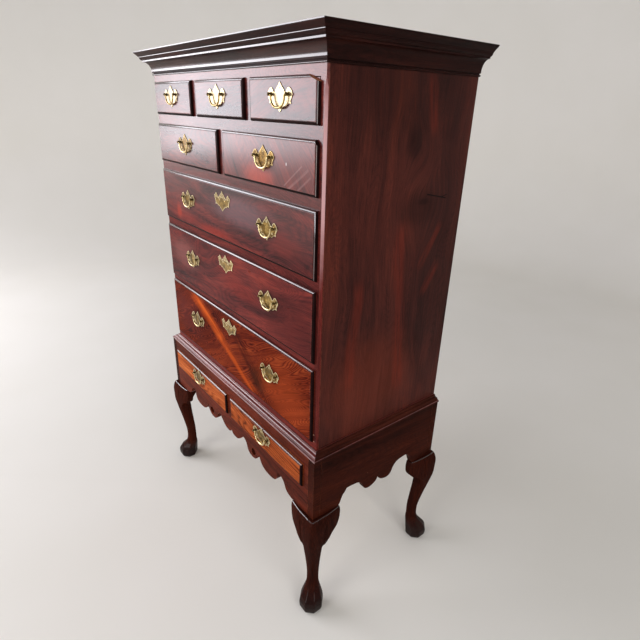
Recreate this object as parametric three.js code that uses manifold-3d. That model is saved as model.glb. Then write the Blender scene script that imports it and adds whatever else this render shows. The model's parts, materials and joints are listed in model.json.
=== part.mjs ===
// Highboy: a lipped-drawer chest that stands on a frame with cabriole legs.
// Millimetres, +Z up, drawers face -Y. The origin is on the floor, at the middle of the overall
// width and depth.
import * as THREE from 'three';
import { mergeVertices } from 'three/addons/utils/BufferGeometryUtils.js';
import Module from 'manifold-3d';

const wasm = await Module();
wasm.setup();

// Fits
const seatGap = 0.3; // between pieces that rest on or beside each other
const cutOverrun = 3; // how far a cut runs past the piece it goes through
const weldLap = 1; // how far the parts of one glued piece run into each other
const railLip = 5; // how far a drawer front laps over the frame round its opening
const drawerPlay = 2; // room beside a drawer in its opening
const topPlay = 4; // room above a drawer's sides

// Chest
const chestWidth = 976;
const chestDepth = 528.5;
const chestBoard = 20; // side, top and bottom boards
const facingDepth = 8; // upright facing strips that cover the side boards' front edges
const backThickness = 12;
const backBoardCount = 4;
const backGroove = 2.5;
const railDepth = 70;
const runnerThickness = 18;
const runnerWidth = 28;
const chamfer = 6;
const lambsTongue = 26;
const chamferTopDrop = 21; // from the cornice down to the end of the chamfer
const chamferFootRise = 22; // from the top of the waist moulding up to the end of the chamfer

// Drawer fronts of the chest, over their lips, and what shows of the rails between them
const lowerDrawerHeight = 240;
const middleDrawerHeight = 210;
const upperDrawerHeight = 179;
const pairDrawerHeight = 128.8;
const trioDrawerHeight = 104;
const bottomRail = 22;
const lowerRail = 19;
const middleRail = 26;
const upperRail = 28.7;
const pairRail = 29.5;
const topRail = 20;
const pairDivider = 42;
const trioDivider = 41;

// Stand
const standHeight = 628;
const standFrontStep = 24; // how far the stand's front lies before the chest's
const standSideStep = 22;
const standBoard = 20;
const postWidth = 55;
const postFace = 28; // what shows of a post beside the boards that lap over it
const standTopRail = 41;
const standTopRailDepth = 64;
const standDrawerHeight = 84;
const standEndStile = 28;
const standDivider = 40;
const standBackHeight = 158;
const apronDrop = 103.7; // boards below the drawer openings, down to the knees
const apronPiercing = 28;
const piercingRiseShare = 0.31; // centre of the piercing above the boards' lower corners, of that drop
const frontKneeInset = 114; // from the stand's side to where the front board's curves meet the knee
const sideKneeInset = 100;

// Mouldings
const corniceHeight = 73;
const corniceProjection = 50;
const waistHeight = 22;
const waistProjection = 25;

// Cabriole legs
const legInset = 25; // leg axis inside the stand's faces
const kneeSpread = 44; // greatest reach of the knee from the leg axis
const wingReach = 85; // greatest reach of the knee blocks from the leg axis
const wingThickness = 22;
const wingDrop = 119;

// Drawers
const frontThickness = 20; // behind the lip
const lipStand = 10;
const lipEdge = 3;
const thumbnailWidth = 8;
const thumbnailStep = 1;
const chestDrawerRoom = 6.5; // behind the boxes, up to the back
const standDrawerRoom = 12.5;
const drawerBoard = 11;
const drawerBottom = 7;
const drawerBottomRise = 7;
const drawerBackDrop = 6;
const tailLength = 13;
const tailPitch = 46;
const tailFlareShare = 0.16;
const tailWidthShare = 0.56;

// Brasses
const postSpacing = 74;
const handleRise = 11.5; // handle posts above the middle of a drawer in the chest's upper rows
const lowHandleRise = 17; // and of one in the lower rows
const longHandleOffset = 256; // handles of the long drawers from the middle
const plateWidth = 106;
const plateTop = 27; // above the posts
const plateDrop = 38.5; // below the posts
const plateThickness = 1.6;
const pivotStand = 8.5; // bail axis before the drawer's face
const postHead = 4.2;
const postShank = 3;
const postCollar = 5.4;
const postTip = 4.4; // post before the bail axis
const boreRadius = 2;
const pinRadius = 1.4;
const bailReach = 29.5; // bail's sides from its middle
const bailDrop = 29.5;
const bailRadius = 2.2;
const bailMiddleRadius = 3.1;
const escutcheonWidth = 98;
const escutcheonTop = 27;
const escutcheonFoot = 32;
const escutcheonDrop = 46.5; // below the drawer's upper lip
const keyholeRadius = 2.6;
const keyholeSlot = 8;
const keyholeDepth = 9;
const postSides = 6;
const bailSides = 6;

// Straight pieces that a curve of an outline is made of
const edgeSegments = 4;
const scallopSegments = 6;
const piercingSegments = 8;
const kneeSegments = 3;

// Levels and places that follow
const waistTop = standHeight + waistHeight;
const lowerDrawerFoot = waistTop + bottomRail;
const middleDrawerFoot = lowerDrawerFoot + lowerDrawerHeight + lowerRail;
const upperDrawerFoot = middleDrawerFoot + middleDrawerHeight + middleRail;
const pairDrawerFoot = upperDrawerFoot + upperDrawerHeight + upperRail;
const trioDrawerFoot = pairDrawerFoot + pairDrawerHeight + pairRail;
const corniceFoot = trioDrawerFoot + trioDrawerHeight + topRail;
const totalHeight = corniceFoot + corniceHeight;
const chestSeat = standHeight + seatGap;
const chestHalf = chestWidth / 2;
const openingHalf = chestHalf - chestBoard;
const frameHalf = openingHalf - seatGap;
const backFace = chestDepth - backThickness;
const standHalf = chestHalf + standSideStep;
const standFront = -standFrontStep;
const standOpeningHalf = standHalf - postFace - standEndStile;
const standOpeningTop = standHeight - standTopRail;
const standOpeningFoot = standOpeningTop + railLip + railLip - standDrawerHeight;
const boardFoot = standOpeningFoot - apronDrop;
const ledgeHeight = boardFoot - seatGap; // top of the knees
const boardHalf = standHalf - postFace - seatGap;
const sideBackEnd = chestDepth - postFace - seatGap;
const chestDrawerLength = backFace - chestDrawerRoom - frontThickness;
const standBackFace = chestDepth - standBoard;
const standDrawerLength = standBackFace - standFront - standDrawerRoom - frontThickness;

// Leg sections from the floor up: height as a share of the ledge's height, then the centre's offset
// and the half width as shares of the knee's spread, the squareness (2 is round) and how far the
// section is panelled
const legSectionShares = [
  [0, 0.25, 0.7, 2, 1],
  [0.02, 0.265, 0.8, 2, 1],
  [0.055, 0.27, 0.885, 2, 1],
  [0.09, 0.26, 0.893, 2, 1],
  [0.127, 0.19, 0.83, 2, 1],
  [0.16, 0.07, 0.7, 2, 1],
  [0.195, -0.045, 0.56, 2, 0.9],
  [0.235, -0.09, 0.475, 2, 0.4],
  [0.285, -0.115, 0.448, 2, 0],
  [0.367, -0.1, 0.445, 2.2, 0],
  [0.49, 0.025, 0.493, 2.6, 0],
  [0.611, 0.173, 0.555, 3.2, 0],
  [0.697, 0.27, 0.605, 4, 0],
  [0.77, 0.345, 0.635, 5, 0],
  [0.85, 0.335, 0.665, 6.5, 0],
  [0.92, 0.3, 0.695, 8, 0],
  [0.97, 0.24, 0.66, 9, 0],
  [1, 0.17, 0.62, 9, 0],
];
const legSides = 16;
const panelSides = 8;

// Knee block seen from the front: control point and end of each curve, from its tip at the ledge to the leg.
// Shares of the block's reach and drop
const wingTipShare = 0.95;
const wingCurveShares = [
  [1.03, 0.12, 1, 0.32],
  [0.96, 0.56, 0.68, 0.64],
  [0.56, 0.66, 0.44, 0.78],
  [0.34, 0.9, 0.22, 1],
];
// Knee block seen from above: how far its face stands before the leg axis, as shares of the knee's spread
const wingRootShare = 0.93;
const wingMiddleShare = 0.68;
const wingEndShare = 0.6;

// Lower edge of the stand's front board from the middle out: control point and end of each curve.
// Shares of the way to the knee and of the drop from the drawer openings to the ledge
const frontEdgeStartShare = 0.683;
const frontEdgeShares = [
  [0.015, 0.817, 0.05, 0.827],
  [0.101, 0.837, 0.126, 0.788],
  [0.167, 0.702, 0.225, 0.471],
  [0.283, 0.529, 0.298, 0.74],
  [0.313, 0.933, 0.379, 0.942],
  [0.434, 0.952, 0.46, 0.817],
  [0.49, 0.74, 0.5, 0.548],
  [0.513, 0.76, 0.545, 0.865],
  [0.581, 0.981, 0.646, 0.99],
  [0.722, 1, 0.76, 0.913],
  [0.788, 0.817, 0.801, 0.529],
  [0.879, 0.529, 0.899, 0.74],
  [0.919, 0.971, 1, 1],
];
const piercingShare = 0.404;

// Lower edge of the stand's side boards, in the same way
const sideEdgeStartShare = 0.7;
const sideEdgeShares = [
  [0.023, 0.856, 0.08, 0.904],
  [0.16, 0.981, 0.244, 0.981],
  [0.352, 0.971, 0.386, 0.779],
  [0.432, 0.567, 0.54, 0.519],
  [0.636, 0.481, 0.8, 0.481],
  [0.83, 0.606, 0.875, 0.644],
  [0.909, 0.74, 0.938, 0.875],
  [0.96, 1, 1, 1],
];

// Cornice section from its lower inner corner out and up: shares of its projection and height
const corniceSectionShares = [
  [0.006, 0],
  [0.07, 0],
  [0.112, 0.02],
  [0.112, 0.055],
  [0.08, 0.075],
  [0.1, 0.13],
  [0.12, 0.24],
  [0.16, 0.35],
  [0.24, 0.46],
  [0.36, 0.54],
  [0.53, 0.575],
  [0.55, 0.59],
  [0.55, 0.635],
  [0.66, 0.675],
  [0.7, 0.755],
  [0.83, 0.865],
  [0.94, 0.93],
  [1, 0.985],
  [1, 1],
  [0.006, 1],
];

// Waist moulding section in the same way
const waistSectionShares = [
  [0.012, 0],
  [0.94, 0],
  [1, 0.1],
  [1, 0.22],
  [0.93, 0.32],
  [0.83, 0.34],
  [0.8, 0.44],
  [0.6, 0.5],
  [0.4, 0.6],
  [0.26, 0.74],
  [0.2, 0.82],
  [0.2, 0.93],
  [0.12, 1],
  [0.012, 1],
];

// Right half of a brass plate from its upper tip down: shares of the half width and of the rise or
// drop from the posts
const plateShares = [
  [0.094, 0.778],
  [0.264, 0.463],
  [0.387, 0.167],
  [0.49, 0.185],
  [0.6, 0.444],
  [0.717, 0.556],
  [0.858, 0.426],
  [0.962, 0.148],
  [1, -0.013],
  [0.896, -0.234],
  [0.84, -0.338],
  [0.858, -0.519],
  [0.68, -0.506],
  [0.481, -0.688],
  [0.321, -0.662],
  [0.132, -0.818],
];

// Colours
const finish = (name, color, roughness, metalness) => {
  const material = new THREE.MeshStandardMaterial({ color, roughness, metalness, flatShading: true });
  material.name = name;
  return material;
};
const colours = {
  case: 0x4c2018,
  stand: 0x45211a,
  fronts: 0x6a3222,
  legs: 0x2c1512,
  inside: 0xa98560,
  brass: 0xb8975a,
};
const caseFinish = () => finish('polished_case', colours.case, 0.3, 0);
const standFinish = () => finish('polished_stand', colours.stand, 0.3, 0);
const frontFinish = () => finish('figured_front', colours.fronts, 0.28, 0);
const legFinish = () => finish('polished_leg', colours.legs, 0.3, 0);
const insideFinish = () => finish('inner_wood', colours.inside, 0.8, 0);
const brassFinish = () => finish('old_brass', colours.brass, 0.35, 0.9);

// Turns a closed geometry into a solid with its faces pointing out
function solidOf(geometry) {
  geometry.deleteAttribute('normal');
  geometry.deleteAttribute('uv');
  const merged = mergeVertices(geometry);
  const points = merged.getAttribute('position');
  const corner = (i) => new THREE.Vector3().fromBufferAttribute(points, i);
  const faces = [];
  let volume = 0;
  for (let i = 0; i < merged.index.count; i += 3) {
    const [a, b, c] = [0, 1, 2].map((k) => merged.index.getX(i + k));
    if (a !== b && b !== c && c !== a) {
      faces.push([a, b, c]);
      volume += corner(a).dot(corner(b).cross(corner(c)));
    }
  }
  const triVerts = Uint32Array.from(faces.flatMap(([a, b, c]) => (volume > 0 ? [a, b, c] : [a, c, b])));
  const vertProperties = Float32Array.from(points.array);
  return new wasm.Manifold(new wasm.Mesh({ numProp: 3, vertProperties, triVerts }));
}

const join = (...solids) => solids.reduce((whole, next) => whole.add(next));
const cut = (solid, ...tools) => tools.reduce((whole, tool) => whole.subtract(tool), solid);

function pieceOf(name, solid, material) {
  const { vertProperties, triVerts } = solid.getMesh();
  const geometry = new THREE.BufferGeometry();
  geometry.setAttribute('position', new THREE.BufferAttribute(Float32Array.from(vertProperties), 3));
  geometry.setIndex(new THREE.BufferAttribute(Uint32Array.from(triVerts), 1));
  const mesh = new THREE.Mesh(geometry, material);
  mesh.name = name;
  return mesh;
}

// Box between two corners
function block(x0, x1, y0, y1, z0, z1) {
  const geometry = new THREE.BoxGeometry(x1 - x0, y1 - y0, z1 - z0);
  geometry.translate((x0 + x1) / 2, (y0 + y1) / 2, (z0 + z1) / 2);
  return solidOf(geometry);
}

// Outline in x and z, made solid between two y values
function prismAlongY(shape, y0, y1, curveSegments = edgeSegments) {
  const geometry = new THREE.ExtrudeGeometry(shape, { depth: y1 - y0, bevelEnabled: false, curveSegments });
  geometry.rotateX(Math.PI / 2);
  geometry.translate(0, y1, 0);
  return solidOf(geometry);
}

// Outline in y and z, made solid between two x values
function prismAlongX(shape, x0, x1, curveSegments = edgeSegments) {
  const geometry = new THREE.ExtrudeGeometry(shape, { depth: x1 - x0, bevelEnabled: false, curveSegments });
  geometry.rotateX(Math.PI / 2);
  geometry.rotateZ(Math.PI / 2);
  geometry.translate(x0, 0, 0);
  return solidOf(geometry);
}

// Outline in x and y, made solid between two z values
function prismAlongZ(shape, z0, z1, curveSegments = edgeSegments) {
  const geometry = new THREE.ExtrudeGeometry(shape, { depth: z1 - z0, bevelEnabled: false, curveSegments });
  geometry.translate(0, 0, z0);
  return solidOf(geometry);
}

// Flat view of a ring of points, along the axis that it faces most
function flatRing(ring) {
  const normal = new THREE.Vector3();
  ring.forEach((point, i) => normal.add(point.clone().cross(ring[(i + 1) % ring.length])));
  const [nx, ny, nz] = [Math.abs(normal.x), Math.abs(normal.y), Math.abs(normal.z)];
  if (nx >= ny && nx >= nz) return ring.map((point) => new THREE.Vector2(point.y, point.z));
  if (ny >= nz) return ring.map((point) => new THREE.Vector2(point.z, point.x));
  return ring.map((point) => new THREE.Vector2(point.x, point.y));
}

// Faces that close a ring, turning the way the ring does
function capFaces(ring) {
  const flat = flatRing(ring);
  const turn = Math.sign(THREE.ShapeUtils.area(flat));
  return THREE.ShapeUtils.triangulateShape(flat.slice(), []).map(([a, b, c]) => {
    const sameTurn = Math.sign(THREE.ShapeUtils.area([flat[a], flat[b], flat[c]])) === turn;
    return sameTurn ? [a, b, c] : [a, c, b];
  });
}

// Closed solid through a row of rings with the same number of points
function loft(rings) {
  const count = rings[0].length;
  const last = (rings.length - 1) * count;
  const faces = [];
  for (let start = 0; start < last; start += count) {
    for (let i = 0; i < count; i += 1) {
      const a = start + i;
      const b = start + ((i + 1) % count);
      faces.push(a, b, b + count, a, b + count, a + count);
    }
  }
  capFaces(rings[0]).forEach(([a, b, c]) => faces.push(a, c, b));
  capFaces(rings[rings.length - 1]).forEach(([a, b, c]) => faces.push(last + a, last + b, last + c));
  const geometry = new THREE.BufferGeometry();
  const places = rings.flat().flatMap((point) => point.toArray());
  geometry.setAttribute('position', new THREE.BufferAttribute(Float32Array.from(places), 3));
  geometry.setIndex(faces);
  return solidOf(geometry);
}

// Moulding round the front and both sides of a box, mitred at the front corners
function mitredMoulding(shares, projection, height, half, front, back, foot) {
  const stations = [
    { x: -half, y: back, outX: -1, outY: 0 },
    { x: -half, y: front, outX: -1, outY: -1 },
    { x: half, y: front, outX: 1, outY: -1 },
    { x: half, y: back, outX: 1, outY: 0 },
  ];
  const rings = stations.map(({ x, y, outX, outY }) => shares.map(([out, up]) => new THREE.Vector3(
    x + outX * out * projection,
    y + outY * out * projection,
    foot + up * height,
  )));
  return loft(rings);
}

// Chest: boards, drawer frame and mouldings
function sideBoard(side) {
  const inner = side * openingHalf;
  const outer = side * chestHalf;
  const front = facingDepth + seatGap;
  return block(Math.min(inner, outer), Math.max(inner, outer), front, chestDepth, chestSeat, totalHeight);
}

// Back made of upright boards with a grooved joint between each two
function chestBack() {
  const inner = backFace + seatGap;
  const panel = block(-frameHalf, frameHalf, inner, chestDepth, chestSeat, totalHeight);
  const boardWidth = (2 * frameHalf) / backBoardCount;
  const grooves = [];
  for (let i = 1; i < backBoardCount; i += 1) {
    const x = i * boardWidth - frameHalf;
    const groove = new THREE.Shape();
    groove.moveTo(x, chestDepth - backGroove);
    groove.lineTo(x + backGroove, chestDepth + weldLap);
    groove.lineTo(x - backGroove, chestDepth + weldLap);
    grooves.push(prismAlongZ(groove, chestSeat - cutOverrun, totalHeight + cutOverrun));
  }
  return cut(panel, ...grooves);
}

// Stopped chamfer of a front corner, fading out in a lamb's tongue at each end
function chamferTool(side) {
  const topEnd = corniceFoot - chamferTopDrop;
  const footEnd = waistTop + chamferFootRise;
  const fade = [
    [footEnd - cutOverrun, -weldLap],
    [footEnd, 0],
    [footEnd + lambsTongue / 2, chamfer / 3],
    [footEnd + lambsTongue, chamfer],
    [topEnd - lambsTongue, chamfer],
    [topEnd - lambsTongue / 2, chamfer / 3],
    [topEnd, 0],
    [topEnd + cutOverrun, -weldLap],
  ];
  const clear = chamfer;
  const rings = fade.map(([z, depth]) => [
    new THREE.Vector3(side * (chestHalf + clear), -clear, z),
    new THREE.Vector3(side * (chestHalf - depth - clear), -clear, z),
    new THREE.Vector3(side * (chestHalf + clear), depth + clear, z),
  ]);
  return loft(rings);
}

// Rail between two rows with the runners behind it, and under any dividers above it
function railWithRunners(railFoot, railTop, dividerPlaces, dividerWidth) {
  const runnerFoot = railTop - runnerThickness;
  const runnerEnd = backFace - seatGap;
  const parts = [
    block(weldLap - chestHalf, chestHalf - weldLap, 0, facingDepth, railFoot, railTop),
    block(-frameHalf, frameHalf, 0, railDepth, railFoot, railTop),
    block(-frameHalf, runnerWidth - frameHalf, railDepth - weldLap, runnerEnd, runnerFoot, railTop),
    block(frameHalf - runnerWidth, frameHalf, railDepth - weldLap, runnerEnd, runnerFoot, railTop),
  ];
  const runnerStart = railDepth - weldLap;
  dividerPlaces.forEach((x) => {
    const runnerHalf = dividerWidth / 2 + runnerWidth;
    const guideHalf = dividerWidth / 2;
    const guideTop = railTop + runnerThickness;
    parts.push(block(x - runnerHalf, x + runnerHalf, runnerStart, runnerEnd, runnerFoot, railTop));
    parts.push(block(x - guideHalf, x + guideHalf, runnerStart, runnerEnd, railTop - weldLap, guideTop));
  });
  return join(...parts);
}

// Places of the dividers that split an opening into equal drawers
function dividerPlaces(half, dividerWidth, drawers) {
  const drawerWidth = (2 * half - (drawers - 1) * dividerWidth) / drawers;
  const first = drawerWidth + dividerWidth / 2 - half;
  return Array.from({ length: drawers - 1 }, (_, i) => first + i * (drawerWidth + dividerWidth));
}

function drawerFrame() {
  const trioPlaces = dividerPlaces(openingHalf, trioDivider, 3);
  const pairPlaces = dividerPlaces(openingHalf, pairDivider, 2);
  const openingTop = (foot, height) => foot + height - railLip;
  const rows = [
    [chestSeat, lowerDrawerFoot, [], 0],
    [openingTop(lowerDrawerFoot, lowerDrawerHeight), middleDrawerFoot, [], 0],
    [openingTop(middleDrawerFoot, middleDrawerHeight), upperDrawerFoot, [], 0],
    [openingTop(upperDrawerFoot, upperDrawerHeight), pairDrawerFoot, pairPlaces, pairDivider],
    [openingTop(pairDrawerFoot, pairDrawerHeight), trioDrawerFoot, trioPlaces, trioDivider],
  ];
  const parts = rows.map(([foot, nextDrawer, places, divider]) => (
    railWithRunners(foot, nextDrawer + railLip, places, divider)
  ));
  const topOpening = openingTop(trioDrawerFoot, trioDrawerHeight);
  const topFoot = totalHeight - chestBoard;
  parts.push(block(weldLap - chestHalf, chestHalf - weldLap, 0, facingDepth, topOpening, totalHeight));
  parts.push(block(-frameHalf, frameHalf, 0, chestBoard, topOpening, totalHeight));
  parts.push(block(-frameHalf, frameHalf, 0, backFace, topFoot, totalHeight));
  parts.push(block(-frameHalf, frameHalf, 0, backFace, chestSeat, chestSeat + chestBoard));
  [-1, 1].forEach((side) => {
    const [low, high] = side > 0 ? [openingHalf, chestHalf] : [-chestHalf, -openingHalf];
    parts.push(block(low, high, 0, facingDepth, chestSeat, totalHeight));
  });
  const dividerBlock = (x, width, foot, height) => block(
    x - width / 2,
    x + width / 2,
    0,
    railDepth,
    foot + railLip - weldLap,
    foot + height - railLip + weldLap,
  );
  pairPlaces.forEach((x) => parts.push(dividerBlock(x, pairDivider, pairDrawerFoot, pairDrawerHeight)));
  trioPlaces.forEach((x) => parts.push(dividerBlock(x, trioDivider, trioDrawerFoot, trioDrawerHeight)));
  const topKicker = block(-frameHalf, frameHalf, 0, railDepth, topOpening, topOpening + runnerThickness);
  return cut(join(...parts, topKicker), chamferTool(-1), chamferTool(1));
}

const cornice = () => mitredMoulding(
  corniceSectionShares,
  corniceProjection,
  corniceHeight,
  chestHalf,
  0,
  chestDepth,
  corniceFoot,
);

const waistMoulding = () => mitredMoulding(
  waistSectionShares,
  waistProjection,
  waistHeight - seatGap,
  chestHalf,
  0,
  chestDepth,
  chestSeat,
);

// Stand: boards with a scalloped lower edge
function scallopedBoard(half, knee, startShare, edgeShares) {
  const height = (share) => standOpeningFoot - share * apronDrop;
  const shape = new THREE.Shape();
  shape.moveTo(0, height(startShare));
  edgeShares.forEach(([cx, cz, x, z]) => shape.quadraticCurveTo(cx * knee, height(cz), x * knee, height(z)));
  shape.lineTo(half, boardFoot);
  shape.lineTo(half, standHeight);
  shape.lineTo(-half, standHeight);
  shape.lineTo(-half, boardFoot);
  shape.lineTo(-knee, boardFoot);
  const starts = [[0, startShare], ...edgeShares.map(([, , x, z]) => [x, z])];
  for (let i = edgeShares.length - 1; i >= 0; i -= 1) {
    const [cx, cz] = edgeShares[i];
    const [x, z] = starts[i];
    shape.quadraticCurveTo(-cx * knee, height(cz), -x * knee, height(z));
  }
  return shape;
}

function standFrontBoard() {
  const knee = standHalf - frontKneeInset;
  const shape = scallopedBoard(boardHalf, knee, frontEdgeStartShare, frontEdgeShares);
  const [cutFront, cutBack] = [standFront - cutOverrun, standFront + standBoard + cutOverrun];
  const piercingHeight = boardFoot + piercingRiseShare * apronDrop;
  const openings = [-1, 1].flatMap((side) => {
    const middle = (side * (standDivider / 2 + standOpeningHalf)) / 2;
    const half = (standOpeningHalf - standDivider / 2) / 2;
    const piercing = new THREE.Shape();
    piercing.absarc(side * piercingShare * knee, piercingHeight, apronPiercing / 2, 0, 2 * Math.PI);
    return [
      block(middle - half, middle + half, cutFront, cutBack, standOpeningFoot, standOpeningTop),
      prismAlongY(piercing, cutFront, cutBack, piercingSegments),
    ];
  });
  const face = cut(prismAlongY(shape, standFront, standFront + standBoard, scallopSegments), ...openings);
  const boardBack = standFront + standBoard - weldLap;
  const flatHalf = standHalf - postWidth - seatGap;
  const flatRail = block(
    -flatHalf,
    flatHalf,
    boardBack,
    standFront + standTopRailDepth,
    standHeight - standBoard,
    standHeight,
  );
  const runnerHalf = standDivider / 2 + runnerWidth;
  const runnerEnd = standBackFace - seatGap;
  const runnerFoot = standOpeningFoot - runnerThickness;
  const runner = block(-runnerHalf, runnerHalf, boardBack, runnerEnd, runnerFoot, standOpeningFoot);
  const guideTop = standOpeningFoot + runnerThickness;
  const guideHalf = standDivider / 2;
  const guide = block(-guideHalf, guideHalf, boardBack, runnerEnd, standOpeningFoot - weldLap, guideTop);
  return join(face, flatRail, runner, guide);
}

// Side board with the runner for its drawer
function standSideBoard(side) {
  const middle = (standFront + chestDepth) / 2;
  const half = sideBackEnd - middle;
  const knee = (chestDepth - standFront) / 2 - sideKneeInset;
  const shape = scallopedBoard(half, knee, sideEdgeStartShare, sideEdgeShares);
  const inner = standHalf - standBoard;
  const [low, high] = side > 0 ? [inner, standHalf] : [-standHalf, -inner];
  const board = prismAlongX(shape, low, high, scallopSegments);
  const runnerInner = side * (standOpeningHalf - runnerWidth);
  const runnerOuter = side * (inner + weldLap);
  const runner = block(
    Math.min(runnerInner, runnerOuter),
    Math.max(runnerInner, runnerOuter),
    standFront + postWidth + seatGap - middle,
    chestDepth - postWidth - seatGap - middle,
    standOpeningFoot - runnerThickness,
    standOpeningFoot,
  );
  return { solid: join(board, runner), middle };
}

function standBack() {
  const foot = standHeight - standBackHeight;
  return block(-boardHalf, boardHalf, standBackFace, chestDepth, foot, standHeight);
}

// Cabriole leg about its own axis, knee towards +x and +y
function legSection([heightShare, centreShare, halfShare, squareness, panel]) {
  const centre = centreShare * kneeSpread;
  const half = halfShare * kneeSpread;
  const panelStep = (2 * Math.PI) / panelSides;
  return Array.from({ length: legSides }, (_, i) => {
    const angle = (i * 2 * Math.PI) / legSides;
    const square = Math.abs(Math.cos(angle)) ** squareness + Math.abs(Math.sin(angle)) ** squareness;
    const round = half / square ** (1 / squareness);
    const fromFlat = angle % panelStep > panelStep / 2 ? (angle % panelStep) - panelStep : angle % panelStep;
    const panelled = (half * Math.cos(panelStep / 4)) / Math.cos(fromFlat);
    const radius = round + (panelled - round) * panel;
    return new THREE.Vector3(
      centre + radius * Math.cos(angle),
      centre + radius * Math.sin(angle),
      heightShare * ledgeHeight,
    );
  });
}

// Knee block that runs back from the knee under one board, first along x
function kneeBlock() {
  const front = new THREE.Shape();
  const height = (share) => ledgeHeight - share * wingDrop;
  front.moveTo(0, ledgeHeight);
  front.lineTo(-wingTipShare * wingReach, ledgeHeight);
  wingCurveShares.forEach(([cx, cz, x, z]) => {
    front.quadraticCurveTo(-cx * wingReach, height(cz), -x * wingReach, height(z));
  });
  front.lineTo(0, ledgeHeight - wingDrop);
  const face = legInset;
  const plan = new THREE.Shape();
  plan.moveTo(0, wingRootShare * kneeSpread);
  plan.quadraticCurveTo(
    -wingReach / 2,
    wingMiddleShare * kneeSpread,
    -wingReach - cutOverrun,
    wingEndShare * kneeSpread,
  );
  plan.lineTo(-wingReach - cutOverrun, face - wingThickness);
  plan.lineTo(0, face - wingThickness);
  const deep = wingDrop + cutOverrun;
  return prismAlongY(front, -kneeSpread, kneeSpread, kneeSegments)
    .intersect(prismAlongZ(plan, ledgeHeight - deep, ledgeHeight + cutOverrun, kneeSegments));
}

// Post above the knee, rabbeted on two faces for the boards that lap over it
function legPost() {
  const outer = legInset;
  const inner = outer - postWidth;
  const shoulder = outer - postFace;
  const rabbet = outer - standBoard - seatGap;
  const plan = new THREE.Shape();
  plan.moveTo(outer, outer);
  plan.lineTo(shoulder, outer);
  plan.lineTo(shoulder, rabbet);
  plan.lineTo(inner, rabbet);
  plan.lineTo(inner, inner);
  plan.lineTo(rabbet, inner);
  plan.lineTo(rabbet, shoulder);
  plan.lineTo(outer, shoulder);
  return prismAlongZ(plan, ledgeHeight - weldLap, standHeight);
}

function cabrioleLeg(sideX, sideY) {
  const block = kneeBlock();
  const otherBlock = block.transform([0, 1, 0, 0, 1, 0, 0, 0, 0, 0, 1, 0, 0, 0, 0, 1]);
  const leg = join(loft(legSectionShares.map(legSection)), legPost(), block, otherBlock);
  return leg.transform([sideX, 0, 0, 0, 0, sideY, 0, 0, 0, 0, 1, 0, 0, 0, 0, 1]);
}

// Dovetails at the front end of a drawer side: an outline in y and z from the root line towards the front
function tailOutlines(foot, height, grow) {
  const count = Math.max(1, Math.round(height / tailPitch));
  const pitch = height / count;
  return Array.from({ length: count }, (_, i) => {
    const middle = foot + (i + 0.5) * pitch;
    const root = (pitch * tailWidthShare) / 2 + grow;
    const tip = root + tailLength * tailFlareShare;
    const shape = new THREE.Shape();
    shape.moveTo(frontThickness + weldLap, middle - root);
    shape.lineTo(frontThickness - tailLength - grow, middle - tip);
    shape.lineTo(frontThickness - tailLength - grow, middle + tip);
    shape.lineTo(frontThickness + weldLap, middle + root);
    return shape;
  });
}

// Sizes of one drawer about the middle of its opening, with the frame's face at y = 0
function drawerSizes(openingWidth, openingHeight, length) {
  const boxHalf = openingWidth / 2 - drawerPlay;
  const boxFoot = seatGap - openingHeight / 2;
  const boxTop = openingHeight / 2 - topPlay;
  return { openingWidth, openingHeight, length, boxHalf, boxFoot, boxTop };
}

function drawerFront(sizes, escutcheonHeight) {
  const { openingWidth, openingHeight, boxHalf, boxFoot, boxTop } = sizes;
  const ring = (y, halfWidth, halfHeight) => [
    new THREE.Vector3(-halfWidth, y, -halfHeight),
    new THREE.Vector3(halfWidth, y, -halfHeight),
    new THREE.Vector3(halfWidth, y, halfHeight),
    new THREE.Vector3(-halfWidth, y, halfHeight),
  ];
  const bodyWidth = openingWidth / 2 - drawerPlay;
  const bodyHeight = openingHeight / 2 - drawerPlay;
  const lipWidth = openingWidth / 2 + railLip;
  const lipHeight = openingHeight / 2 + railLip;
  const curveDepth = lipStand - lipEdge - thumbnailStep;
  const curve = [0, 1, 2, 3].map((step) => {
    const angle = (step * Math.PI) / 6;
    const inset = thumbnailWidth * (1 - Math.cos(angle));
    return ring(-lipEdge - curveDepth * Math.sin(angle), lipWidth - inset, lipHeight - inset);
  });
  const faceWidth = lipWidth - thumbnailWidth - thumbnailStep;
  const faceHeight = lipHeight - thumbnailWidth - thumbnailStep;
  const parts = [loft([
    ring(frontThickness, bodyWidth, bodyHeight),
    ring(-seatGap, bodyWidth, bodyHeight),
    ring(-seatGap, lipWidth, lipHeight),
    ...curve,
    ring(-lipStand, faceWidth, faceHeight),
  ])];
  const sockets = [-1, 1].flatMap((side) => {
    const inner = side * (boxHalf - drawerBoard - seatGap);
    const outer = side * (boxHalf + cutOverrun);
    return tailOutlines(boxFoot, boxTop - boxFoot, seatGap)
      .map((shape) => prismAlongX(shape, Math.min(inner, outer), Math.max(inner, outer)));
  });
  if (escutcheonHeight !== null) {
    const outline = plateOutline(escutcheonWidth / 2, escutcheonTop, escutcheonFoot);
    const escutcheon = prismAlongY(outline, -lipStand - plateThickness, weldLap - lipStand);
    parts.push(escutcheon.translate([0, 0, escutcheonHeight]));
    sockets.push(keyhole().translate([0, -lipStand, escutcheonHeight]));
  }
  return cut(join(...parts), ...sockets);
}

function keyhole() {
  const shape = new THREE.Shape();
  shape.absarc(0, 0, keyholeRadius, -Math.PI / 3, (4 * Math.PI) / 3);
  shape.lineTo(-keyholeRadius / 2, -keyholeSlot);
  shape.lineTo(keyholeRadius / 2, -keyholeSlot);
  return prismAlongY(shape, -plateThickness - cutOverrun, keyholeDepth);
}

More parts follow.
